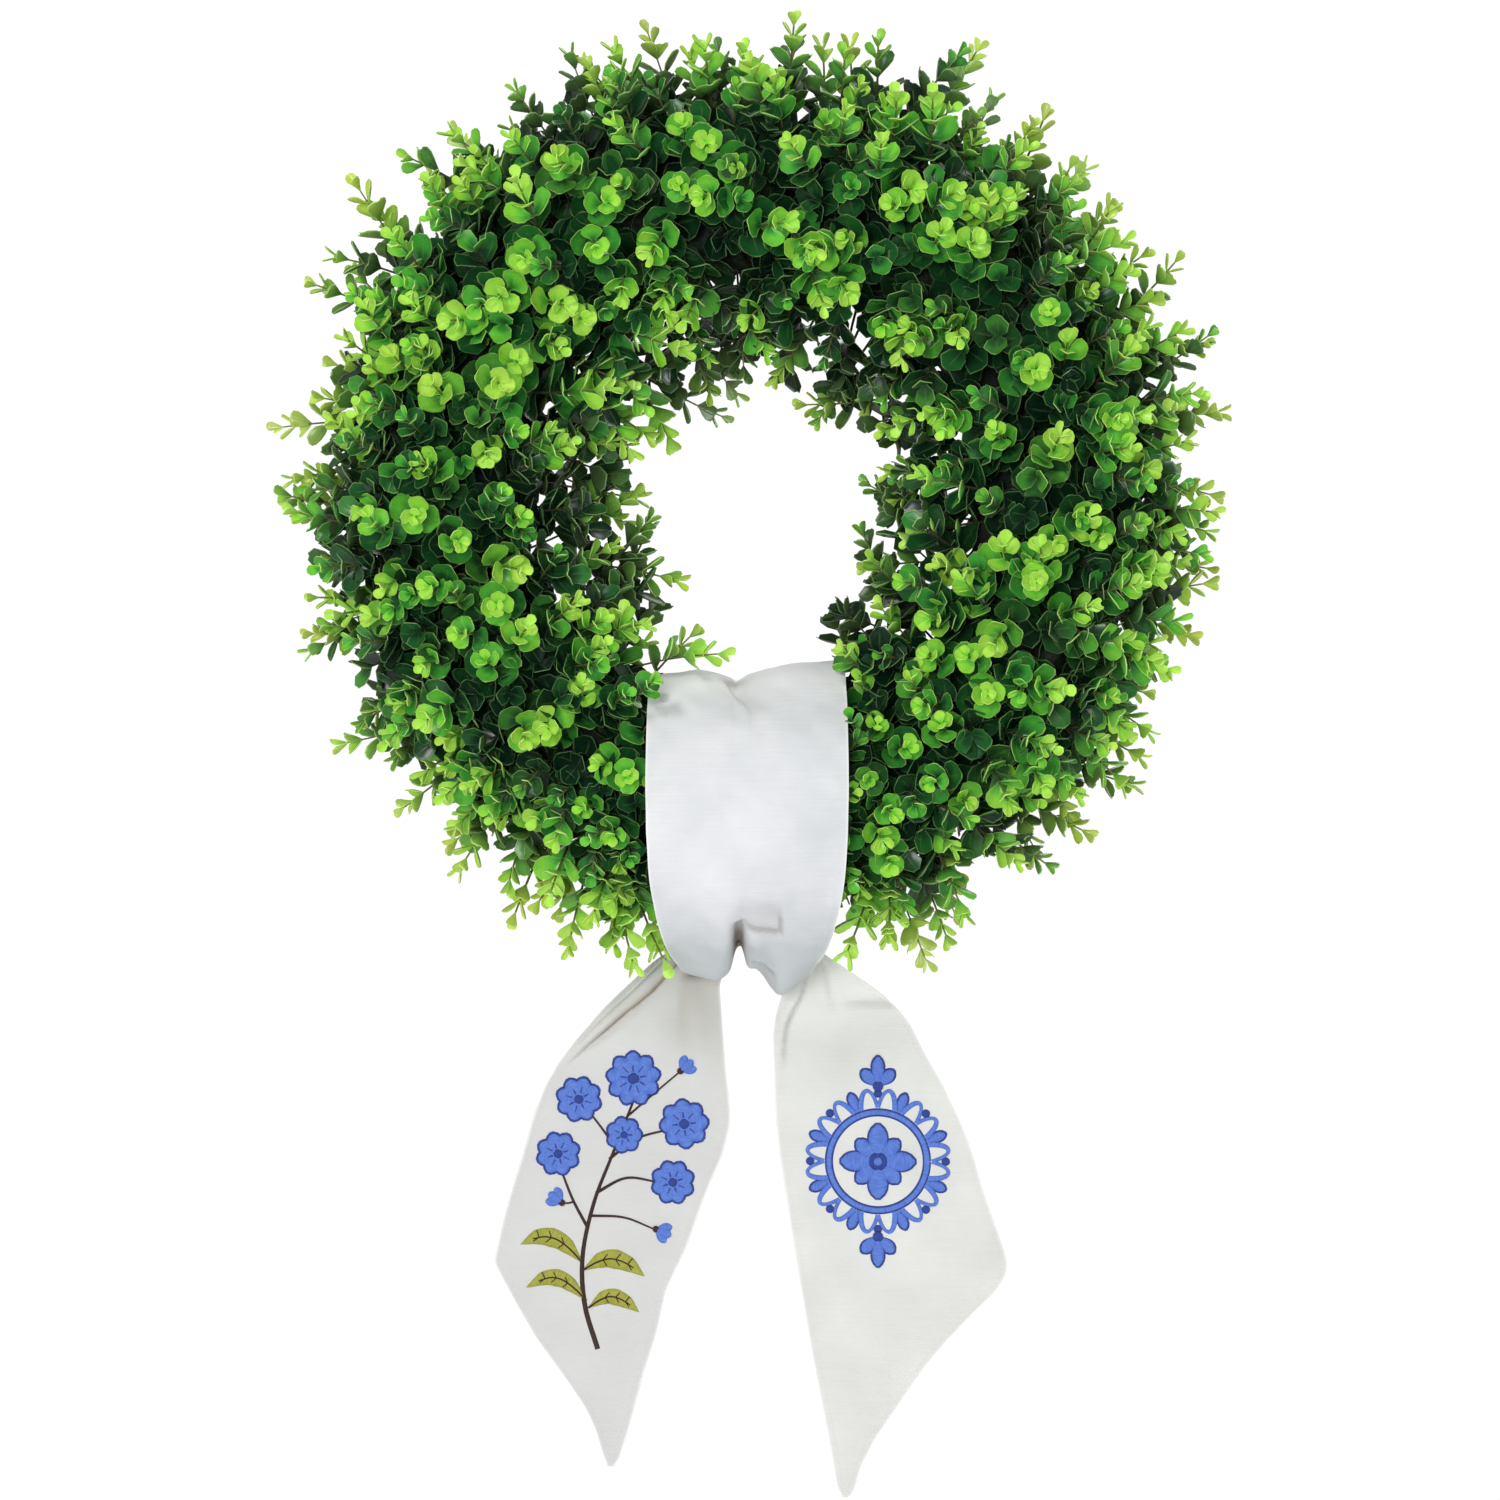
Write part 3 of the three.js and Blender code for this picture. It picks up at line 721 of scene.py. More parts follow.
def stem_points(spine):
    """A square stem that thins towards its tip."""
    direction = unit(np.gradient(spine, axis=0))
    first = unit(np.cross(direction, [0.3, 0.5, 0.8]))
    second = np.cross(direction, first)
    radius = np.linspace(*STEM_RADII, len(spine))[:, None, None]
    turn = np.arange(STEM_SIDES) * 2 * math.pi / STEM_SIDES
    ring = first[:, None] * np.cos(turn)[None, :, None] + second[:, None] * np.sin(turn)[None, :, None]
    return spine[:, None] + ring * radius


def sector_of(theta):
    """Which of the twelve pieces an angle round the ring is in."""
    return int((math.degrees(theta) - FIRST_SECTOR_DEG) % 360 // (360 / SECTORS))


def mat_section(theta):
    """The stem bases' section: from the hoop's outer side, over the front, to its inner side, and back."""
    phi = np.radians(np.linspace(13, 167, 34))
    x = (HOOP_RADIUS + MAT_REACH * np.cos(phi)) * math.cos(theta) - BAND_X
    at_top = math.sin(theta) > 0
    beside = np.abs(x) - band_half_width(np.degrees(phi)) + (2 * HOOP_RADIUS if at_top else 0)
    swell = 6 * span(beside, -5, 1, 26, 40)
    corner = 8 * ease(-np.cos(phi), 0.5, 0.9) * span(beside, -5, 1, 10, 20)
    reach = MAT_REACH - 12 * (1 - ease(beside, -8, -1)) + swell + corner
    reach = reach + 5 * ripple(math.degrees(theta) * 2.6, np.degrees(phi) * 0.7, 5, 22)
    outer = np.stack([reach * np.cos(phi), reach * np.sin(phi)], -1)
    inner_phi = phi[::-1][::4]
    inner = np.stack([11 * np.cos(inner_phi), 8.5 * np.sin(inner_phi)], -1)
    return np.concatenate([outer, inner])


def add_mat(shape, sector):
    """A sector of the mat, with flat ends."""
    start = FIRST_SECTOR_DEG + sector * 360 / SECTORS
    rings = []
    for theta in np.radians(np.linspace(start, start + 360 / SECTORS, 25)):
        section = mat_section(theta % (2 * math.pi))
        rings.append(on_ring(theta, section[:, 0], HOOP_Y - section[:, 1]))
    sides = len(rings[0])
    faces, _ = tube_faces(len(rings), sides)
    shape.add(np.concatenate(rings), np.array(faces), 2)
    strip = [[j, j + 1, sides - 2 - j, sides - 1 - j] for j in range(sides // 2 - 1)]
    for end in (rings[0], rings[-1]):
        shape.add(end, np.array(strip), 2)


def sprig_tone(number, theta, phi):
    """How dark a sprig's leaves are, at random and as painted light, and how olive, partly as painted
    backlight.
    """
    angle = math.degrees(phi)
    darkness_and_painted_light = 0.5 * ease(draw(number, DULL_DRAW), 0.45, 1.0) - 0.06
    darkness_and_painted_light += np.interp(math.degrees(theta), TONE_ANGLES, RING_TONES, period=360)
    # Painted light on the outer sprigs low on the ring, which lie in shade under it.
    darkness_and_painted_light -= 0.42 * ease(math.cos(phi), 0.55, 0.9) * ease(-math.sin(theta), 0.75, 0.93)
    # Painted shade on the sprigs that face the hole, and painted light on those that face straight ahead.
    darkness_and_painted_light += 0.12 * ease(angle, 130, 165) - 0.09 * bell(angle, 97, 16)
    # Painted backlight: sprigs at the ring's outer and inner edges turn olive, as leaves lit from behind; a
    # few more are olive at random, as bleached leaves.
    rim = ease(abs(angle - 90), 52, 84)
    olive = rim * (0.35 + 0.65 * draw(number, OLIVE_DRAW)) + 0.25 * (draw(number, BLEACHED_DRAW) > 0.8)
    return darkness_and_painted_light, float(np.clip(olive, 0, 1))


def add_sprig(shapes, number, theta, phi, reach, tall, lean=None):
    """Grows one sprig into the piece of its sector."""
    shape = shapes[sector_of(theta)]
    pairs, leaf = (LEAF_PAIRS, LEAF) if tall else (DEEP_LEAF_PAIRS, DEEP_LEAF)
    leaves, ages, chances, spine = grow_sprig(number, theta, phi, reach, pairs, leaf, lean)
    darkness_and_painted_light, olive = sprig_tone(number, theta, phi)
    for points, age, chance in zip(leaves, ages, chances):
        shape.add(points, leaf.faces, 0, leaf_place=leaf.place, leaf_tone=(age + darkness_and_painted_light, chance, olive))
    fade = np.repeat(np.linspace(1, 0 if tall else 0.6, len(spine)), STEM_SIDES)
    shape.add(stem_points(spine), STEM_FACES, 1, leaf_tone=np.stack([fade, 0 * fade, 0 * fade], -1))


def sprig_rows():
    """Each row's angle round the hoop, its count of sprigs, and whether they are tall."""
    for angles, spacing, radius, tall in (
        (SPRIG_ROW_ANGLES, SPRIG_SPACING, REACH - 4, True),
        (DEEP_ROW_ANGLES, DEEP_SPACING, DEEP_REACH - 1, False),
    ):
        for angle in angles:
            length = 2 * math.pi * (HOOP_RADIUS + radius * math.cos(math.radians(angle)))
            sparser = 1.14 if tall and angle < 30 else 1
            yield angle, round(length / (spacing * sparser)), tall


def make_foliage():
    """The sprigs on their mat, in twelve pieces that stand for four bunches each."""
    shapes = [Shape() for _ in range(SECTORS)]
    number = 0
    for row, (row_phi, count, tall) in enumerate(sprig_rows()):
        for k in range(count):
            number += 1
            place = k + draw(row, ROW_START_DRAW) + 0.5 * (draw(number, PLACE_DRAW) - 0.5)
            theta = 2 * math.pi * place / count % (2 * math.pi)
            phi = math.radians(row_phi + 11 * (draw(number, ANGLE_DRAW) - 0.5))
            if tall:
                reach = sprig_reach(number, theta, phi)
            else:
                reach = DEEP_REACH + 10 * (draw(number, REACH_DRAW) - 0.5)
                reach += 18 * ease(-math.cos(phi), 0.3, 0.95)
            add_sprig(shapes, number, theta, phi, reach, tall)
    for k, (theta, phi, reach, lean) in enumerate(PLACED_SPRIGS):
        add_sprig(shapes, number + 1 + k, math.radians(theta), math.radians(phi), reach, True, lean)
    finishes = [leaf_finish(), stem_finish(), mat_finish()]
    for sector, shape in enumerate(shapes):
        add_mat(shape, sector)
        kinds = ["outer", "front_outer", "front_inner", "inner"]
        nodes = [f"{kind}_bunch_{sector + 1:02d}" for kind in kinds]
        shape.piece(f"boxwood_sprigs_{sector + 1:02d}", finishes, "foliage", nodes, 50)


def make_hoop():
    """The moulded ring, with its corners rounded and its back stepped in behind the sash."""
    back, front, depth = HOOP_BACK_WIDTH / 2, HOOP_FRONT_WIDTH / 2, HOOP_DEPTH / 2
    corners = [(-back, -depth), (-front, depth), (front, depth), (back, -depth)]
    section = []
    for i, corner in enumerate(corners):
        before, after = np.array(corners[i - 1]), np.array(corners[(i + 1) % 4])
        here = np.array(corner)
        soft = HOOP_FRONT_ROUNDING if corner[1] > 0 else HOOP_BACK_ROUNDING
        back_way, on_way = unit(before - here), unit(after - here)
        section += [here + soft * back_way, here + 0.3 * soft * (back_way + on_way), here + soft * on_way]
    section = np.array(section)
    rings = 240
    points = []
    for theta in 2 * math.pi * np.arange(rings) / rings:
        inside = SASH_CHANNEL_HALF - abs(math.cos(theta) * HOOP_RADIUS)
        step = SASH_CHANNEL * (theta > math.pi) * ease(inside, -1, 1)
        points.append(on_ring(theta, section[:, 0], np.minimum(HOOP_Y - section[:, 1], -step)))
    sides = len(section)
    faces, _ = tube_faces(rings, sides)
    last = (rings - 1) * sides
    faces += [[last + j, last + (j + 1) % sides, (j + 1) % sides, j] for j in range(sides)]
    shape = Shape()
    shape.add(np.concatenate(points), np.array(faces))
    shape.piece("moulded_hoop", [hoop_finish()], "hoop", ["hoop"], 35)


# How far the seam of a sheet's hem lies in from its edge.
SEAM_INSET = 3.2


def add_sheet(shape, grid, thickness, weave, painted_crease_shade, inset):
    """A closed sheet of cloth of an even thickness on a grid of points of its middle."""
    offset = grid_normals(grid) * thickness / 2
    rows, columns = grid.shape[:2]
    points = np.concatenate([(grid + offset).reshape(-1, 3), (grid - offset).reshape(-1, 3)])
    place = np.concatenate([weave.reshape(-1, 3)] * 2)
    # Crease shade, the seam's stitches, and a painted highlight along the very edge.
    tone = np.stack([painted_crease_shade, bell(inset, SEAM_INSET, 0.5), bell(inset, 0, 0.7)], -1).reshape(-1, 3)
    tone = np.concatenate([tone, tone])
    shape.add(points, sheet_faces(rows, columns), weave_place=place, cloth_tone=tone)


def distance_along(line):
    """How far each point of a line is from its first."""
    return np.concatenate([[0], np.cumsum(np.linalg.norm(np.diff(line, axis=0), axis=1))])


def band_folds(c, x, phi, length):
    """How far the band's cloth lies in from its plain path, and how much painted shade its creases get.

    The top edge dips beside an overlap, the lower end has a slit at its middle with a pocket's corner
    and a rolled lobe on its right, and the cloth is pleated under the ring.
    """
    push = -band_rise(c, phi)
    push = push - 2.4 * (1 - c**2) * span(phi, 20, 60, 130, 175)
    dip_side = x + 12 - 13 * ease(-phi, -148, -122)
    overlap = ease(dip_side, -1.0, 1.0) * np.exp(-np.maximum(dip_side, 0) / 7) * bell(phi, 137, 13)
    push = push + 3.6 * overlap
    push = push + gather_depth(x, phi)
    fold_line = 43.4 - 0.14 * x
    over_fold = phi - fold_line
    pocket = span(x, -6, -1, 16.5, 19.5) * span(over_fold, -0.9, 0.9, 5, 15)
    push = push + 3.4 * pocket - 1.6 * bell(x, 7, 10) * bell(over_fold, -5, 5)
    roll = 25.8 - ((x - 8.4) / 6.5) ** 2 - phi
    lobe = span(x, 1, 5, 13, 17) * ease(roll, -1, 1) * np.exp(-np.maximum(roll, 0) / 7)
    push = push + 2.6 * lobe
    bottom_line = smooth_line(BAND_BOTTOM, 90)
    push = push + np.interp(x, bottom_line[:, 0], bottom_line[:, 1]) * bell(phi, 17, 14)
    push = push - 2.2 * (bell(x, -12.5, 5) + bell(x, 4.5, 4)) * bell(phi, 36, 10)
    push = push + ease(-phi, -16, -6) * 2.2 * np.sin(c * 9.0 + 1.1)
    push = push + 0.55 * ripple(x, length, 3, 46) + 0.3 * ripple(x, length, 4, 17)
    # Painted shade in the slit, the overlap at the top, the lobe and its roll, beside the dip, and along the
    # pocket's lines.
    slit = ease(gather_depth(x, phi), 2.5, 8)
    painted_crease_shade = slit * (0.3 + 0.7 * (1 - ease(phi, 34, 42))) + 0.3 * overlap + 0.2 * lobe
    painted_crease_shade = painted_crease_shade + 0.85 * bell(roll, 0.3, 0.7) * span(x, 1.5, 3.5, 13, 15.5)
    painted_crease_shade = painted_crease_shade + 0.35 * bell(x, -8.5, 5) * bell(phi, 149, 5)
    painted_crease_shade = painted_crease_shade + 0.6 * bell(over_fold, 0.2, 0.75) * span(x, -1, 2, 14.5, 17.5) + 0.1 * pocket
    painted_crease_shade = painted_crease_shade + 0.4 * bell(x, 17.6, 1.4) * span(over_fold, -1, 0.5, 6, 9)
    return push, np.clip(painted_crease_shade, 0, 1)


def band_painted_light_and_shade(x, phi):
    """Painted shade on the band low down and on its right, and painted light over its top."""
    painted_dimness = 0.58 * (1 - ease(phi, 20, 62)) - 0.54 * ease(phi, 122, 146)
    return painted_dimness + 0.1 * ease(x, 4, 30) * (1 - ease(phi, 30, 70)) + 0.2 * ease(x, 5, 45) * ease(phi, 50, 70)


def make_band(finish):
    """The band: over the ring's inner side, down the front, and gathered to the knot under the ring."""
    below, front, half = (band_line[:, k][:, None] for k in range(3))
    ahead = np.gradient(band_line[:, :2], axis=0)
    inward = unit(np.stack([ahead[:, 1], -ahead[:, 0]], -1))
    length = distance_along(band_line[:, :2])[:, None]
    phi = band_angles[:, None]
    c = np.linspace(-1, 1, BAND_COLUMNS)[None, :]
    x = c * half
    push, painted_crease_shade = band_folds(c, x, phi, length)
    away_from_door = ease(front, -4.9, 0)
    push = push * away_from_door
    y = HOOP_Y - front - inward[:, 1][:, None] * push
    z = HOOP_LOW_Z - below - inward[:, 0][:, None] * push
    grid = np.stack([BAND_X + x, np.minimum(y, BAND_BACK_Y), z], -1)
    # Painted shade and light on the band, kept off the part against the door.
    painted_dimness = 0.24 + band_painted_light_and_shade(x, phi) * away_from_door
    weave = np.stack([x, length + 0 * x, painted_dimness], -1)
    shape = Shape()
    add_sheet(shape, grid, BAND_THICKNESS, weave, painted_crease_shade, (1 - np.abs(c)) * half)
    return shape.piece("sash_wrap", [finish], "cloth", ["sash_band"], 60)


# Tail edges: [x, z] from the ring's centre, from the knot down to the point.
TAIL_LEFT = {
    "left": [
        [-22, -219.4], [-34, -233.5], [-44, -239], [-51, -243.2], [-57, -248.6], [-66.3, -257.1],
        [-70.6, -261.1], [-79.2, -269.5], [-86.2, -277.9], [-93.7, -286.3], [-103, -297.7],
        [-110.2, -310.2], [-115.9, -325], [-122.3, -347.9], [-127.8, -365], [-131.5, -378.3],
        [-137.1, -403.2], [-125.1, -426], [-115.4, -443.1], [-101.7, -462.1], [-88.7, -480.9],
        [-83.2, -492.5], [-78.6, -507.5], [-76.6, -511.8],
    ],
    "right": [
        [0.2, -219.4], [-10, -238], [-17.2, -255.9], [-15.3, -281.6], [-13.8, -300.6], [-12.2, -313.9],
        [-11.2, -325.3], [-11.6, -331], [-15.3, -346.2], [-21.3, -359.5], [-27.2, -374.5],
        [-34.6, -395.6], [-45.6, -418.4], [-50.6, -441.2], [-57.4, -462.1], [-65.0, -490.6],
        [-70.8, -509], [-73.8, -511.8],
    ],
}
TAIL_RIGHT = {
    "left": [
        [1.6, -219.4], [12, -236], [17, -250], [15.9, -262.6], [13, -272.1], [11.5, -283.5], [12, -310.1],
        [12.9, -329.1], [15.0, -348.1], [19.4, -376.6], [23.1, -401.3], [27.2, -424], [31.1, -446.9],
        [33.9, -462.1], [37.7, -480.9], [42.5, -505.8], [45.2, -522.9], [48.2, -528.4],
    ],
    "right": [
        [25, -219.4], [31, -232], [37.8, -239.9], [46.9, -245.3], [58.7, -253.4], [68.3, -260.6],
        [79.1, -270.3], [84.6, -277.7], [92.2, -293], [102.2, -310.1], [111.9, -331], [117.6, -346.2],
        [123.1, -365.2], [130.4, -386.1], [135, -399.4], [136, -405.1], [135, -410.7], [129.4, -419.2],
        [118.3, -429.8], [103.6, -445], [92.3, -458.3], [79.2, -477.2], [66, -496.3], [58.2, -511.5],
        [54, -526], [50.8, -528.4],
    ],
}
TAIL_ROWS = 140
TAIL_COLUMNS = 74
TAIL_THICKNESS = 1.3
# The tails' tops hang this far in front of the door.
TAIL_Y = -5.5


def edge_line(points, heights):
    """An edge's x at each height, with its corners a little rounded."""
    points = np.asarray(points, float)
    x = np.interp(-heights, -points[:, 1], points[:, 0])
    padded = np.concatenate([x[:1], x, x[-1:]])
    return (padded[:-2] + 2 * padded[1:-1] + padded[2:]) / 4


def fold(x, z, points, left, right):
    """1 along a line and 0 away from it, over one width on its left side and another on its right."""
    path = smooth_line(points, 40)
    along = unit(np.gradient(path, axis=0))
    across = x[..., None] - path[:, 0]
    up = z[..., None] - path[:, 1]
    nearest = (across**2 + up**2).argmin(-1)
    near = nearest[..., None]
    across = np.take_along_axis(across, near, -1)[..., 0]
    up = np.take_along_axis(up, near, -1)[..., 0]
    side = along[nearest, 0] * up - along[nearest, 1] * across
    width = np.where(side > 0, right, left)
    fade = np.sin(math.pi * np.clip(nearest / 40, 0.01, 0.99)) ** 0.5
    return np.exp(-(across**2 + up**2) / width**2) * fade


def tail_grid(edges, shape_folds):
    """A tail's points, painted crease shade, nearest edge's distance, and weave place with painted dimness.
    """
    z = np.linspace(edges["left"][0][1], edges["left"][-1][1], TAIL_ROWS)
    left, right = (edge_line(edges[side], z)[:, None] for side in ("left", "right"))
    s = np.linspace(0, 1, TAIL_COLUMNS)[None, :]
    x = left + (right - left) * s
    z = z[:, None] + 0 * x
    folds, painted_crease_shade, painted_dimness = shape_folds(x, z, x - left, right - x)
    t = (z - z[0, 0]) / (z[-1, 0] - z[0, 0])
    grid = np.stack([x, TAIL_Y - 2 * t - folds, z + RING_Z], -1)
    return grid, painted_crease_shade, np.minimum(x - left, right - x), np.stack([x, z, painted_dimness], -1)


# The rolled edge of the left tail: [distance below the ring's centre, width of the roll].
LEFT_ROLL = [
    [235, 5], [241, 10], [244.7, 12.8], [252.8, 14.3], [259.8, 15.6], [266.7, 14.5], [273.2, 12],
    [279.6, 10.3], [287, 8], [300, 5],
]
# The left tail's hanging fold, and the right tail's long fold, gather and short tuck: [x, z] from the
# ring's centre.
LEFT_HANG = [[-42, -250], [-40, -268], [-36, -292]]
RIGHT_FOLD = [
    [31, -244], [28.5, -253], [25.3, -262.6], [20.5, -271.1], [17.4, -279.5], [16.3, -288],
    [15.8, -300],
]
RIGHT_GATHER = [[35, -240], [38, -248], [40.4, -257.2], [43, -268]]
RIGHT_TUCK = [[49, -267], [58, -266.2], [70, -265.8], [77, -267.4]]


def left_folds(x, z, from_left, from_right):
    """A rolled upper left edge over the tail, a pinch under the knot, and soft waves below."""
    below = -z
    places, widths = np.array(LEFT_ROLL, float).T
    inner = np.interp(below, places, widths)
    u = from_left / inner
    fade = span(below, 230, 246, 276, 302)
    roll = 4.4 * np.sin(0.5 * math.pi * np.clip(u / 0.7, 0, 1)) * (1 - ease(u, 0.84, 1.06))
    tuck = ease(u, 0.95, 1.05) * np.exp(-np.maximum(from_left - inner, 0) / 5)
    groove = bell(u, 0.36, 0.07) * (1 - ease(below, 272, 292))
    pinch = bell(x, -31, 6) * bell(z, -250.5, 1.7)
    hang = fold(x, z, LEFT_HANG, 7, 4)
    swell = bell(from_right, 13, 9) * bell(below, 272, 30)
    waves = 1.6 * np.sin(x / 21 + below / 160) * span(below, 250, 330, 480, 520)
    waves = waves + 0.55 * ripple(x, z, 8, 70)
    height = (roll - 1.4 * tuck - 0.9 * groove) * fade - 2.0 * pinch - 1.4 * hang + 2.0 * swell + waves
    # Painted shade: tan along the roll's inner side and its groove; grey in the gather, the pinch, the
    # hanging fold and by the right edge.
    painted_roll_shade = 0.22 * span(u, 0.45, 0.9, 1.0, 1.1) + 0.7 * bell(u, 1.0, 0.13) + 0.3 * groove
    gathered = ease(x + (below - 250) * 0.1, -40, -34) * (1 - 0.6 * ease(x, -30, -16))
    shade = 0.22 * gathered * (1 - ease(below, 256, 300)) + 0.08 * hang + 0.5 * pinch
    shade = shade + 0.1 * bell(from_right, 8, 9) * (1 - ease(below, 270, 330))
    return height, np.clip(painted_roll_shade * fade + shade, 0, 1), 0 * height


def right_folds(x, z, from_left, _):
    """A fold down the left side, a gather beside it, a short tuck at the right, and soft waves."""
    below = -z
    long_fold, long_edge = (fold(x, z, RIGHT_FOLD, *widths) for widths in ((8, 1.6), (0.9, 1.1)))
    gather = fold(x, z, RIGHT_GATHER, 1.8, 4)
    tuck, tuck_shade = (fold(x, z, RIGHT_TUCK, *widths) for widths in ((1.5, 8), (0.8, 3)))
    waves = 1.5 * np.sin(x / 22 + below / 170 + 1.0) * span(below, 250, 330, 490, 530)
    waves = waves + 0.55 * ripple(x, z, 9, 70)
    swell = bell(from_left, 3, 4) * bell(below, 275, 22)
    height = 3.2 * long_fold - 1.6 * gather - 2.0 * tuck + waves + swell
    # Painted shade along the long fold's edge, the gather and under the tuck.
    painted_crease_shade = 0.6 * long_edge + 0.15 * bell(gather, 1, 0.3) + 0.2 * tuck_shade
    # Painted light on the right tail's top, which lies in shade under the band.
    return height, np.clip(painted_crease_shade, 0, 1), 0.31 - 0.55 * (1 - ease(below, 255, 300))


def make_tail(name, edges, folds, finish, node):
    """A tail: a sheet of cloth that hangs from the knot down to its point."""
    grid, painted_crease_shade, inset, weave = tail_grid(edges, folds)
    shape = Shape()
    add_sheet(shape, grid, TAIL_THICKNESS, weave, painted_crease_shade, inset)
    return shape.piece(name, [finish], "cloth", [node], 60)


# The knot's half width, depth and height, its place below the hoop, and its flat front and back.
KNOT_HALVES = [26.5, 4.7, 12.4]
KNOT_DROP = 48
KNOT_FRONT_Y = -10.4
KNOT_BACK_Y = -0.6


def make_knot(finish):
    """The tied cloth behind the ring's lower end: a flattened lump with wrapped folds."""
    rows, columns = 40, 72
    half_width, half_depth, half_height = KNOT_HALVES
    v = np.linspace(0.02, np.pi - 0.02, rows)[:, None]
    u = np.linspace(0, 2 * np.pi, columns, endpoint=False)[None, :]
    wrap = 1 + 0.07 * np.sin(3 * u + 2.2 * np.cos(v)) - 0.08 * bell(np.cos(v), 0.25, 0.12)
    x = half_width * np.cos(v) * (0.98 + 0.02 * wrap)
    body = np.abs(np.sin(v)) ** 0.7
    y = half_depth * body * np.cos(u) * wrap
    z = half_height * body * np.sin(u) * wrap
    grid = np.stack([x + 0 * u + 1, y + HOOP_Y + 1.5, z + HOOP_LOW_Z - KNOT_DROP], -1)
    grid[..., 1] = np.clip(grid[..., 1], KNOT_FRONT_Y, KNOT_BACK_Y)
    faces, caps = tube_faces(rows, columns)
    weave = np.stack([grid[..., 0], 6 * u + 0 * v, 0 * grid[..., 0]], -1).reshape(-1, 3)
    # Painted shade in the knot's creases and wrapped folds, and on its caps.
    painted_crease_shade = 0.5 * bell(np.cos(v), 0.25, 0.1) + 0.4 * bell(np.sin(3 * u + 2.2 * np.cos(v)), -1, 0.2)
    tone = np.stack([painted_crease_shade, 0 * painted_crease_shade, 0 * painted_crease_shade], -1).reshape(-1, 3)
    shape = Shape()
    shape.add(grid.reshape(-1, 3), np.array(faces), weave_place=weave, cloth_tone=tone)
    for cap in caps:
        ring = grid.reshape(-1, 3)[cap]
        fan = [[k, (k + 1) % columns, columns] for k in range(columns)]
        points = np.concatenate([ring, [ring.mean(0)]])
        shape.add(points, np.array(fan), weave_place=(0, 0, 0), cloth_tone=(0.3, 0, 0))
    return shape.piece("sash_knot_cloth", [finish], "cloth", ["sash_knot"], 60)


# The threads' places in the embroidery's list of finishes.
BLUE, DEEP_BLUE, OLIVE, BROWN = range(4)


def around(x, z, reach, angle):
    """Places at a reach and an angle from a point."""
    return np.stack([x + reach * np.cos(angle), z + reach * np.sin(angle)], -1)


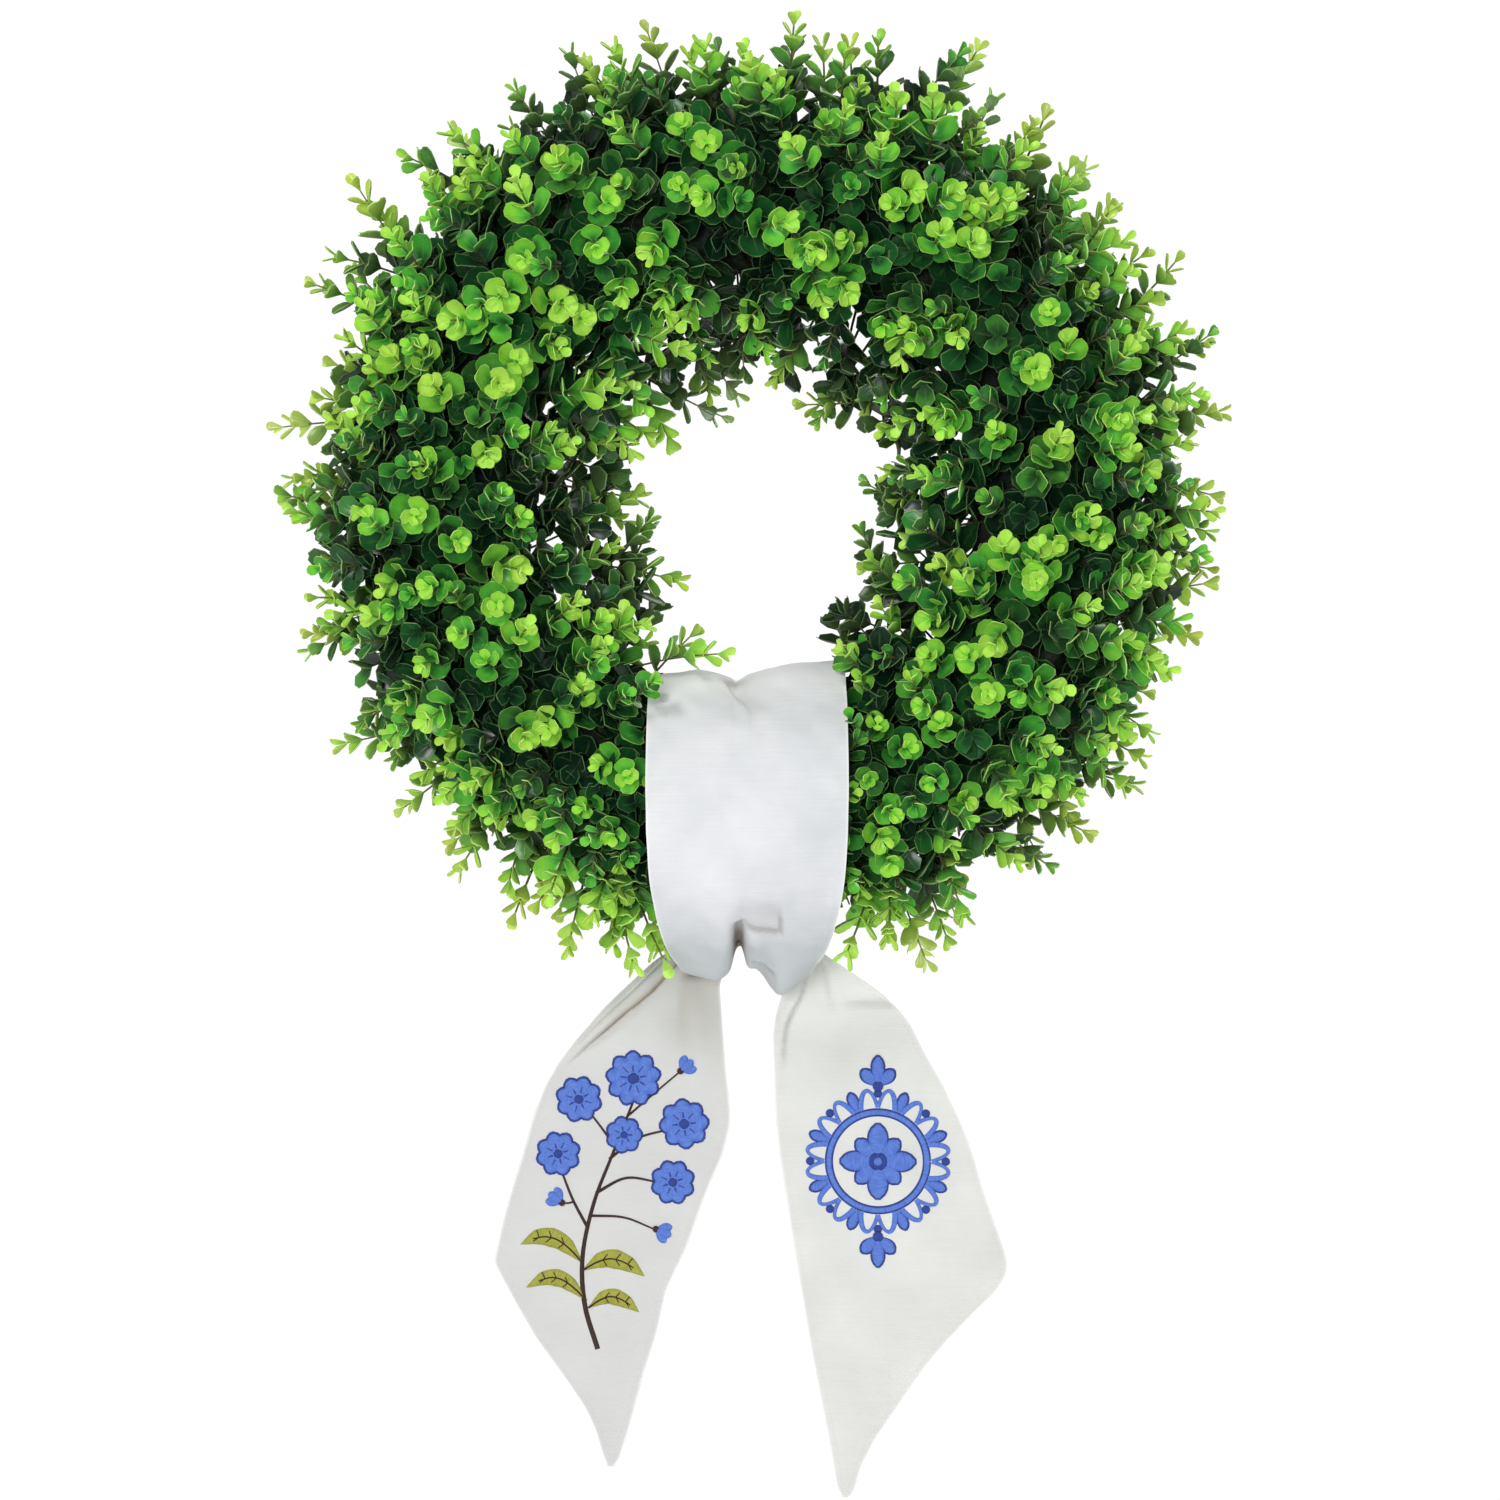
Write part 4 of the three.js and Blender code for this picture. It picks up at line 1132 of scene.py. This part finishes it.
class Embroidery:
    """Raised satin-stitch shapes laid on the front of a tail."""

    def __init__(self, cloth):
        mesh = cloth.data
        points = [v.co / MM for v in mesh.vertices]
        self.tree = BVHTree.FromPolygons(points, [list(p.vertices) for p in mesh.polygons])
        self.shape = Shape()

    def surface(self, x, z):
        hit = self.tree.ray_cast(Vector((x, -60, z + RING_Z)), Vector((0, 1, 0)))[0]
        return hit.y if hit else TAIL_Y - TAIL_THICKNESS

    def patch(self, rows, finish, rise, base):
        """A domed strip between two edges: rows of (left x, left z, right x, right z)."""
        rows = np.asarray(rows, float)
        across = np.linspace(0, 1, 5 if rise < 0.65 else 7)
        left, right = rows[:, None, :2], rows[:, None, 2:]
        flat = left * (1 - across[None, :, None]) + right * across[None, :, None]
        dome = np.sqrt(np.clip(1 - (2 * across - 1) ** 2, 0, 1))[None, :]
        ends = np.sqrt(np.clip(1 - (2 * np.linspace(0, 1, len(rows)) - 1) ** 8, 0, 1))[:, None]
        lift = base + rise * dome * ends
        ground = np.array([[self.surface(px, pz) for px, pz in line] for line in flat])
        top = np.stack([flat[..., 0], ground - lift - 0.05, flat[..., 1] + RING_Z], -1)
        low = np.stack([flat[..., 0], ground + 0.3, flat[..., 1] + RING_Z], -1)
        length = distance_along((rows[:, :2] + rows[:, 2:]) / 2)
        width = np.linalg.norm(right - left, axis=-1)
        edge = np.abs(2 * across - 1)[None, :] ** 6 + 0 * lift
        place = np.stack([length[:, None] + 0 * lift, across[None, :] * width, edge], -1).reshape(-1, 3)
        points = np.concatenate([top.reshape(-1, 3), low.reshape(-1, 3)])
        faces = sheet_faces(len(rows), len(across))
        self.shape.add(points, faces, finish, stitch_place=np.concatenate([place, place]))

    def line(self, points, widths, finish, rise=0.6, base=0.0, steps=24):
        """A strip along a smooth line, with its width given from end to end."""
        path = smooth_line(points, steps)
        width = np.interp(np.linspace(0, 1, len(path)), np.linspace(0, 1, len(widths)), widths)
        along = unit(np.gradient(path, axis=0))
        side = np.stack([-along[:, 1], along[:, 0]], -1) * width[:, None] / 2
        self.patch(np.concatenate([path + side, path - side], 1), finish, rise, base)

    def petal(self, x, z, angle, length, width, finish, rise=0.8, base=0.0):
        """A rounded petal that grows from a point."""
        t = np.linspace(0.02, 0.98, 9)
        reach = around(x, z, t * length, angle)
        half = width / 2 * np.sin(np.pi * t**1.35) ** 0.6
        side = np.stack([-math.sin(angle) * half, math.cos(angle) * half], -1)
        self.patch(np.concatenate([reach + side, reach - side], 1), finish, rise, base)

    def disc(self, x, z, radius, finish, rise=0.6, base=0.0):
        turn = np.linspace(0.03, 0.97, 9) * math.pi
        left, half = x - radius * np.cos(turn), radius * np.sin(turn)
        self.patch(np.stack([left, z + half, left, z - half], -1), finish, rise, base)

    def edged_petal(self, x, z, angle, length, width, base):
        """A petal over a slightly larger dark one, which shows as its outline."""
        self.petal(x, z, angle, length + 0.9, width + 1.5, DEEP_BLUE, 0.5, base)
        self.petal(x, z, angle, length, width, BLUE, 0.8, base + 0.15)

    def blossom(self, x, z, radius, petals, turn, base):
        """Petals round a darker centre."""
        for k in range(petals):
            angle = turn + 2 * math.pi * k / petals
            self.edged_petal(x, z, angle, radius, 5.4 * radius / petals, base + 0.12 * (k % 2))
        for k in range(petals):
            angle = turn + 2 * math.pi * k / petals
            inner, outer = 0.24 * radius, (0.5 + 0.14 * (k % 2)) * radius
            vein = around(x, z, np.array([inner, (inner + outer) / 2, outer]), angle)
            self.line(vein, [1.1, 0.6], DEEP_BLUE, 0.3, base + 0.9, 5)
        self.disc(x, z, radius * 0.22, DEEP_BLUE, 0.6, base + 0.9)

    def leaf(self, points, width):
        """A narrow leaf with a mid-vein and side veins."""
        points = np.asarray(points, float)
        self.line(points, [0.4, 0.8 * width, width, 0.75 * width, 0.3], OLIVE, 0.8)
        path = smooth_line(points, 20)
        self.line(path[:18:4], [1.0, 0.7], BROWN, 0.3, 0.8)
        along = unit(path[-1] - path[0])
        side = np.array([-along[1], along[0]])
        for k in (6, 10, 14):
            for sign in (1, -1):
                end = path[k] + along * width * 0.22 + side * sign * width * 0.3
                self.line([path[k], (path[k] + end) / 2, end], [0.7, 0.5], BROWN, 0.3, 0.75, 6)


# The spray: [points, widths] of its stems, [points, width] of its leaves, [x, z, radius, petals,
# turn] of its daisies, [x, z, angle] of its buds, and the points of the last bud's stalk.
SPRAY_STEMS = [
    [
        [(-82, -450), (-89, -426), (-90, -400), (-84, -372), (-74, -346), (-63, -318)],
        [2.8, 2.6, 2.2, 1.7, 1.3],
    ],
    [[(-87, -386), (-95, -371), (-101, -356)], [1.8, 1.5, 1.2]],
    [[(-83, -367), (-67, -359), (-50, -361)], [1.8, 1.4, 1.1]],
    [[(-76, -349), (-61, -338), (-44, -333)], [1.6, 1.3, 1.1]],
    [[(-73, -342), (-81, -331), (-88, -322)], [1.5, 1.2, 1.0]],
    [[(-86, -379), (-68, -380), (-52, -386)], [1.5, 1.2, 0.9]],
    [[(-66, -326), (-52, -314), (-39, -303)], [1.3, 1.0, 0.9]],
]
SPRAY_LEAVES = [
    [[(-90, -404), (-101, -393), (-112, -390), (-123, -394)], 10.5],
    [[(-90, -408), (-78, -402), (-67, -404), (-57, -411)], 10.5],
    [[(-88, -424), (-99, -414), (-109, -412), (-120, -417)], 9.5],
    [[(-87, -428), (-77, -422), (-68, -424), (-60, -430)], 9],
]
SPRAY_DAISIES = [
    [-63, -306, 14.5, 9, 0.2],
    [-92, -317, 12, 8, 0.5],
    [-103, -346, 11.5, 8, 0.3],
    [-36, -330, 13, 8, 0.1],
    [-42, -361, 11.5, 8, 0.35],
    [-68, -336, 9.5, 7, 0.0],
]
SPRAY_BUDS = [[-38, -302, 0.7], [-51, -386, -0.4], [-101, -372, 2.5]]
SPRAY_STALK = [(-94.6, -371.6), (-98, -372.3), (-101, -372)]
ROSETTE_CENTRE = (67, -350)
ROSETTE_RADIUS = 26


def make_spray(cloth, finishes):
    """A spray of daisies and buds over narrow leaves, on the left tail."""
    e = Embroidery(cloth)
    for points, widths in SPRAY_STEMS:
        e.line(points, widths, BROWN)
    for points, width in SPRAY_LEAVES:
        e.leaf(points, width)
    for x, z, radius, petals, turn in SPRAY_DAISIES:
        e.blossom(x, z, radius, petals, turn, 0.2)
    for x, z, angle in SPRAY_BUDS:
        for spread in (-0.55, 0.55, 0.0):
            e.petal(x, z, angle + spread, 9.0, 5.0, BLUE, 0.7, 0.6 if spread == 0 else 0.1)
        e.disc(x, z, 1.8, BROWN, 0.5, 0.6)
    e.line(SPRAY_STALK, [1.1, 0.9], BROWN, 0.5, 0.0, 8)
    return e.shape.piece("spray_embroidery", finishes, "cloth", (), 40)


def make_rosette(cloth, finishes):
    """A flower in a ring of scrolls and petals, with a finial above and below, on the right tail."""
    e = Embroidery(cloth)
    x, z = ROSETTE_CENTRE
    for k in (1, 3, 5, 7, 0, 2, 4, 6):
        length, width, base = (20, 10.0, 0.4) if k % 2 == 0 else (16, 8.5, 0.0)
        e.edged_petal(x, z, math.pi * k / 4, length, width, base)
    e.disc(x, z, 5.0, DEEP_BLUE, 0.6, 1.2)
    e.disc(x, z, 2.2, BLUE, 0.6, 1.8)
    ring = np.linspace(0, 2 * math.pi, 49)
    circle = around(x, z, ROSETTE_RADIUS, ring)
    e.line(circle, [4.4, 4.4], DEEP_BLUE, 0.45, 0.0, 110)
    e.line(circle, [3.0, 3.0], BLUE, 0.7, 0.1, 110)
    for k in range(8):
        angle = math.pi * (k + 0.5) / 4
        dot = angle - math.pi / 8
        for sign in (1, -1):
            t = np.linspace(0, 1, 13)
            turn = angle + sign * (0.06 + 0.33 * t)
            reach = ROSETTE_RADIUS + 2 + 11.5 * np.sin(np.pi * t * 0.9) - 3 * t
            e.line(around(x, z, reach, turn), [3.2, 2.6, 1.8, 2.2], BLUE, 0.7, 0.05, 30)
        e.edged_petal(*around(x, z, ROSETTE_RADIUS + 2, angle), angle, 11, 5.0, 0.1)
        e.disc(*around(x, z, ROSETTE_RADIUS + 10, dot), 2.3, DEEP_BLUE, 0.7)
    for sign in (1, -1):
        foot = z + sign * 40
        for lean, length, base in ((-0.8, 12, 0.0), (0.8, 12, 0.0), (0.0, 16, 0.4)):
            e.edged_petal(x, foot, sign * (math.pi / 2 + lean), length, 6.5, base)
        e.disc(x, foot, 2.8, DEEP_BLUE, 0.6, 1.1)
    return e.shape.piece("rosette_embroidery", finishes, "cloth", (), 40)


# The cloth's light, shaded and painted crease-shade colours; each thread's light and dark colour and
# roughness.
SASH_COLOURS = [
    # The wrap's light colour is a little pink and blue, against the green light that the leaves throw on it.
    ["wrap", (250, 248, 252), (201, 206, 208), (146, 134, 124)],
    ["left", (219, 220, 218), (197, 197, 194), (148, 132, 103)],
    ["right", (244, 245, 242), (208, 209, 204), (158, 156, 150)],
]
THREAD_COLOURS = [
    ["blue", (106, 144, 234), (66, 100, 204), 0.42],
    ["deep_blue", (52, 76, 168), (34, 50, 120), 0.45],
    ["olive", (184, 186, 76), (146, 148, 54), 0.45],
    ["brown", (66, 42, 36), (40, 24, 22), 0.5],
]


def make_sash():
    """The band, the knot and the tails with their embroidery."""
    wrap_finish, left_finish, right_finish = (
        cloth_finish(f"sash_cloth_{part}", srgb(*light), srgb(*shade), srgb(*crease_shade_colour))
        for part, light, shade, crease_shade_colour in SASH_COLOURS
    )
    band = make_band(wrap_finish)
    knot = make_knot(left_finish)
    left = make_tail("sash_tail_left_cloth", TAIL_LEFT, left_folds, left_finish, "sash_tail_left")
    right = make_tail("sash_tail_right_cloth", TAIL_RIGHT, right_folds, right_finish, "sash_tail_right")
    threads = [
        thread_finish(f"{name}_thread", srgb(*colour), srgb(*dark), roughness)
        for name, colour, dark, roughness in THREAD_COLOURS
    ]
    spray = make_spray(left, threads)
    rosette = make_rosette(right, threads[:2])


# The floor's height in metres, and the strength of the light from all round and of the white seen behind.
FLOOR_Z = -1.75
AIR_LIGHT = 0.39
WHITE_BEHIND = 1.05


def make_stage():
    """A plain pale floor, as far below the wreath as under a door."""
    bpy.ops.mesh.primitive_plane_add(size=8.0, location=(0, 0, FLOOR_Z))
    plane = bpy.context.object
    plane.name = "pale_floor"
    f = Finish("pale_floor_paint")
    f.set(Base_Color=f.mix(f.object_noise(3.0), (0.8, 0.8, 0.8), (0.76, 0.76, 0.76)), Roughness=0.9)
    f.set(Emission_Color=(1, 1, 1), Emission_Strength=0.15)
    plane.data.materials.append(f.material)


def add_light(name, place, aim, size, power):
    """A square lamp of a size in metres and a power in watts, aimed at a point."""
    data = bpy.data.lights.new(name, "AREA")
    data.size = size
    data.energy = power
    light = bpy.data.objects.new(name, data)
    light.location = place
    light.rotation_euler = (Vector(aim) - Vector(place)).to_track_quat("-Z", "Y").to_euler()
    bpy.context.scene.collection.objects.link(light)


def make_lights():
    """Four soft lamps, and white air that looks brighter than the light it gives."""
    middle = (0, -0.03, -0.2)
    add_light("main_light", (-0.6, -2.7, -0.1), (0, -0.03, -0.28), 0.9, 29)
    add_light("key_light", (-1.4, -1.9, 1.7), middle, 0.7, 20)
    add_light("fill_light", (1.2, -2.4, -0.6), middle, 1.2, 12)
    add_light("back_light", (0.6, 2.4, 1.4), middle, 1.6, 30)
    world = bpy.data.worlds.new("white_studio")
    air = Nodes(world)
    air.tree.nodes.remove(air.tree.nodes["Background"])
    soft, white = (air.node("Background", None, (1, 1, 1), level) for level in (AIR_LIGHT, WHITE_BEHIND))
    seen = air.node("LightPath", output="Is Camera Ray")
    mixed = air.node("MixShader", None, seen, soft, white)
    air.feed(air.tree.nodes["World Output"].inputs["Surface"], mixed)
    bpy.context.scene.world = world


# What the camera sees, in millimetres: its middle, its height there, and its distance.
VIEW_MIDDLE = [-1, -30, -280.3]
VIEW_HEIGHT = 788
VIEW_DISTANCE = 1900


def make_camera():
    """A long lens, straight in front of the wreath's middle."""
    data = bpy.data.cameras.new("front_camera")
    data.sensor_width = 36
    data.lens = 36 * VIEW_DISTANCE / VIEW_HEIGHT
    camera = bpy.data.objects.new("front_camera", data)
    x, y, z = VIEW_MIDDLE
    camera.location = (x * MM, (y - VIEW_DISTANCE) * MM, z * MM)
    camera.rotation_euler = (math.pi / 2, 0, 0)
    bpy.context.scene.collection.objects.link(camera)
    bpy.context.scene.camera = camera
    bpy.context.scene.view_settings.view_transform = "Standard"


make_camera()
make_lights()
make_stage()
make_hoop()
make_foliage()
make_sash()
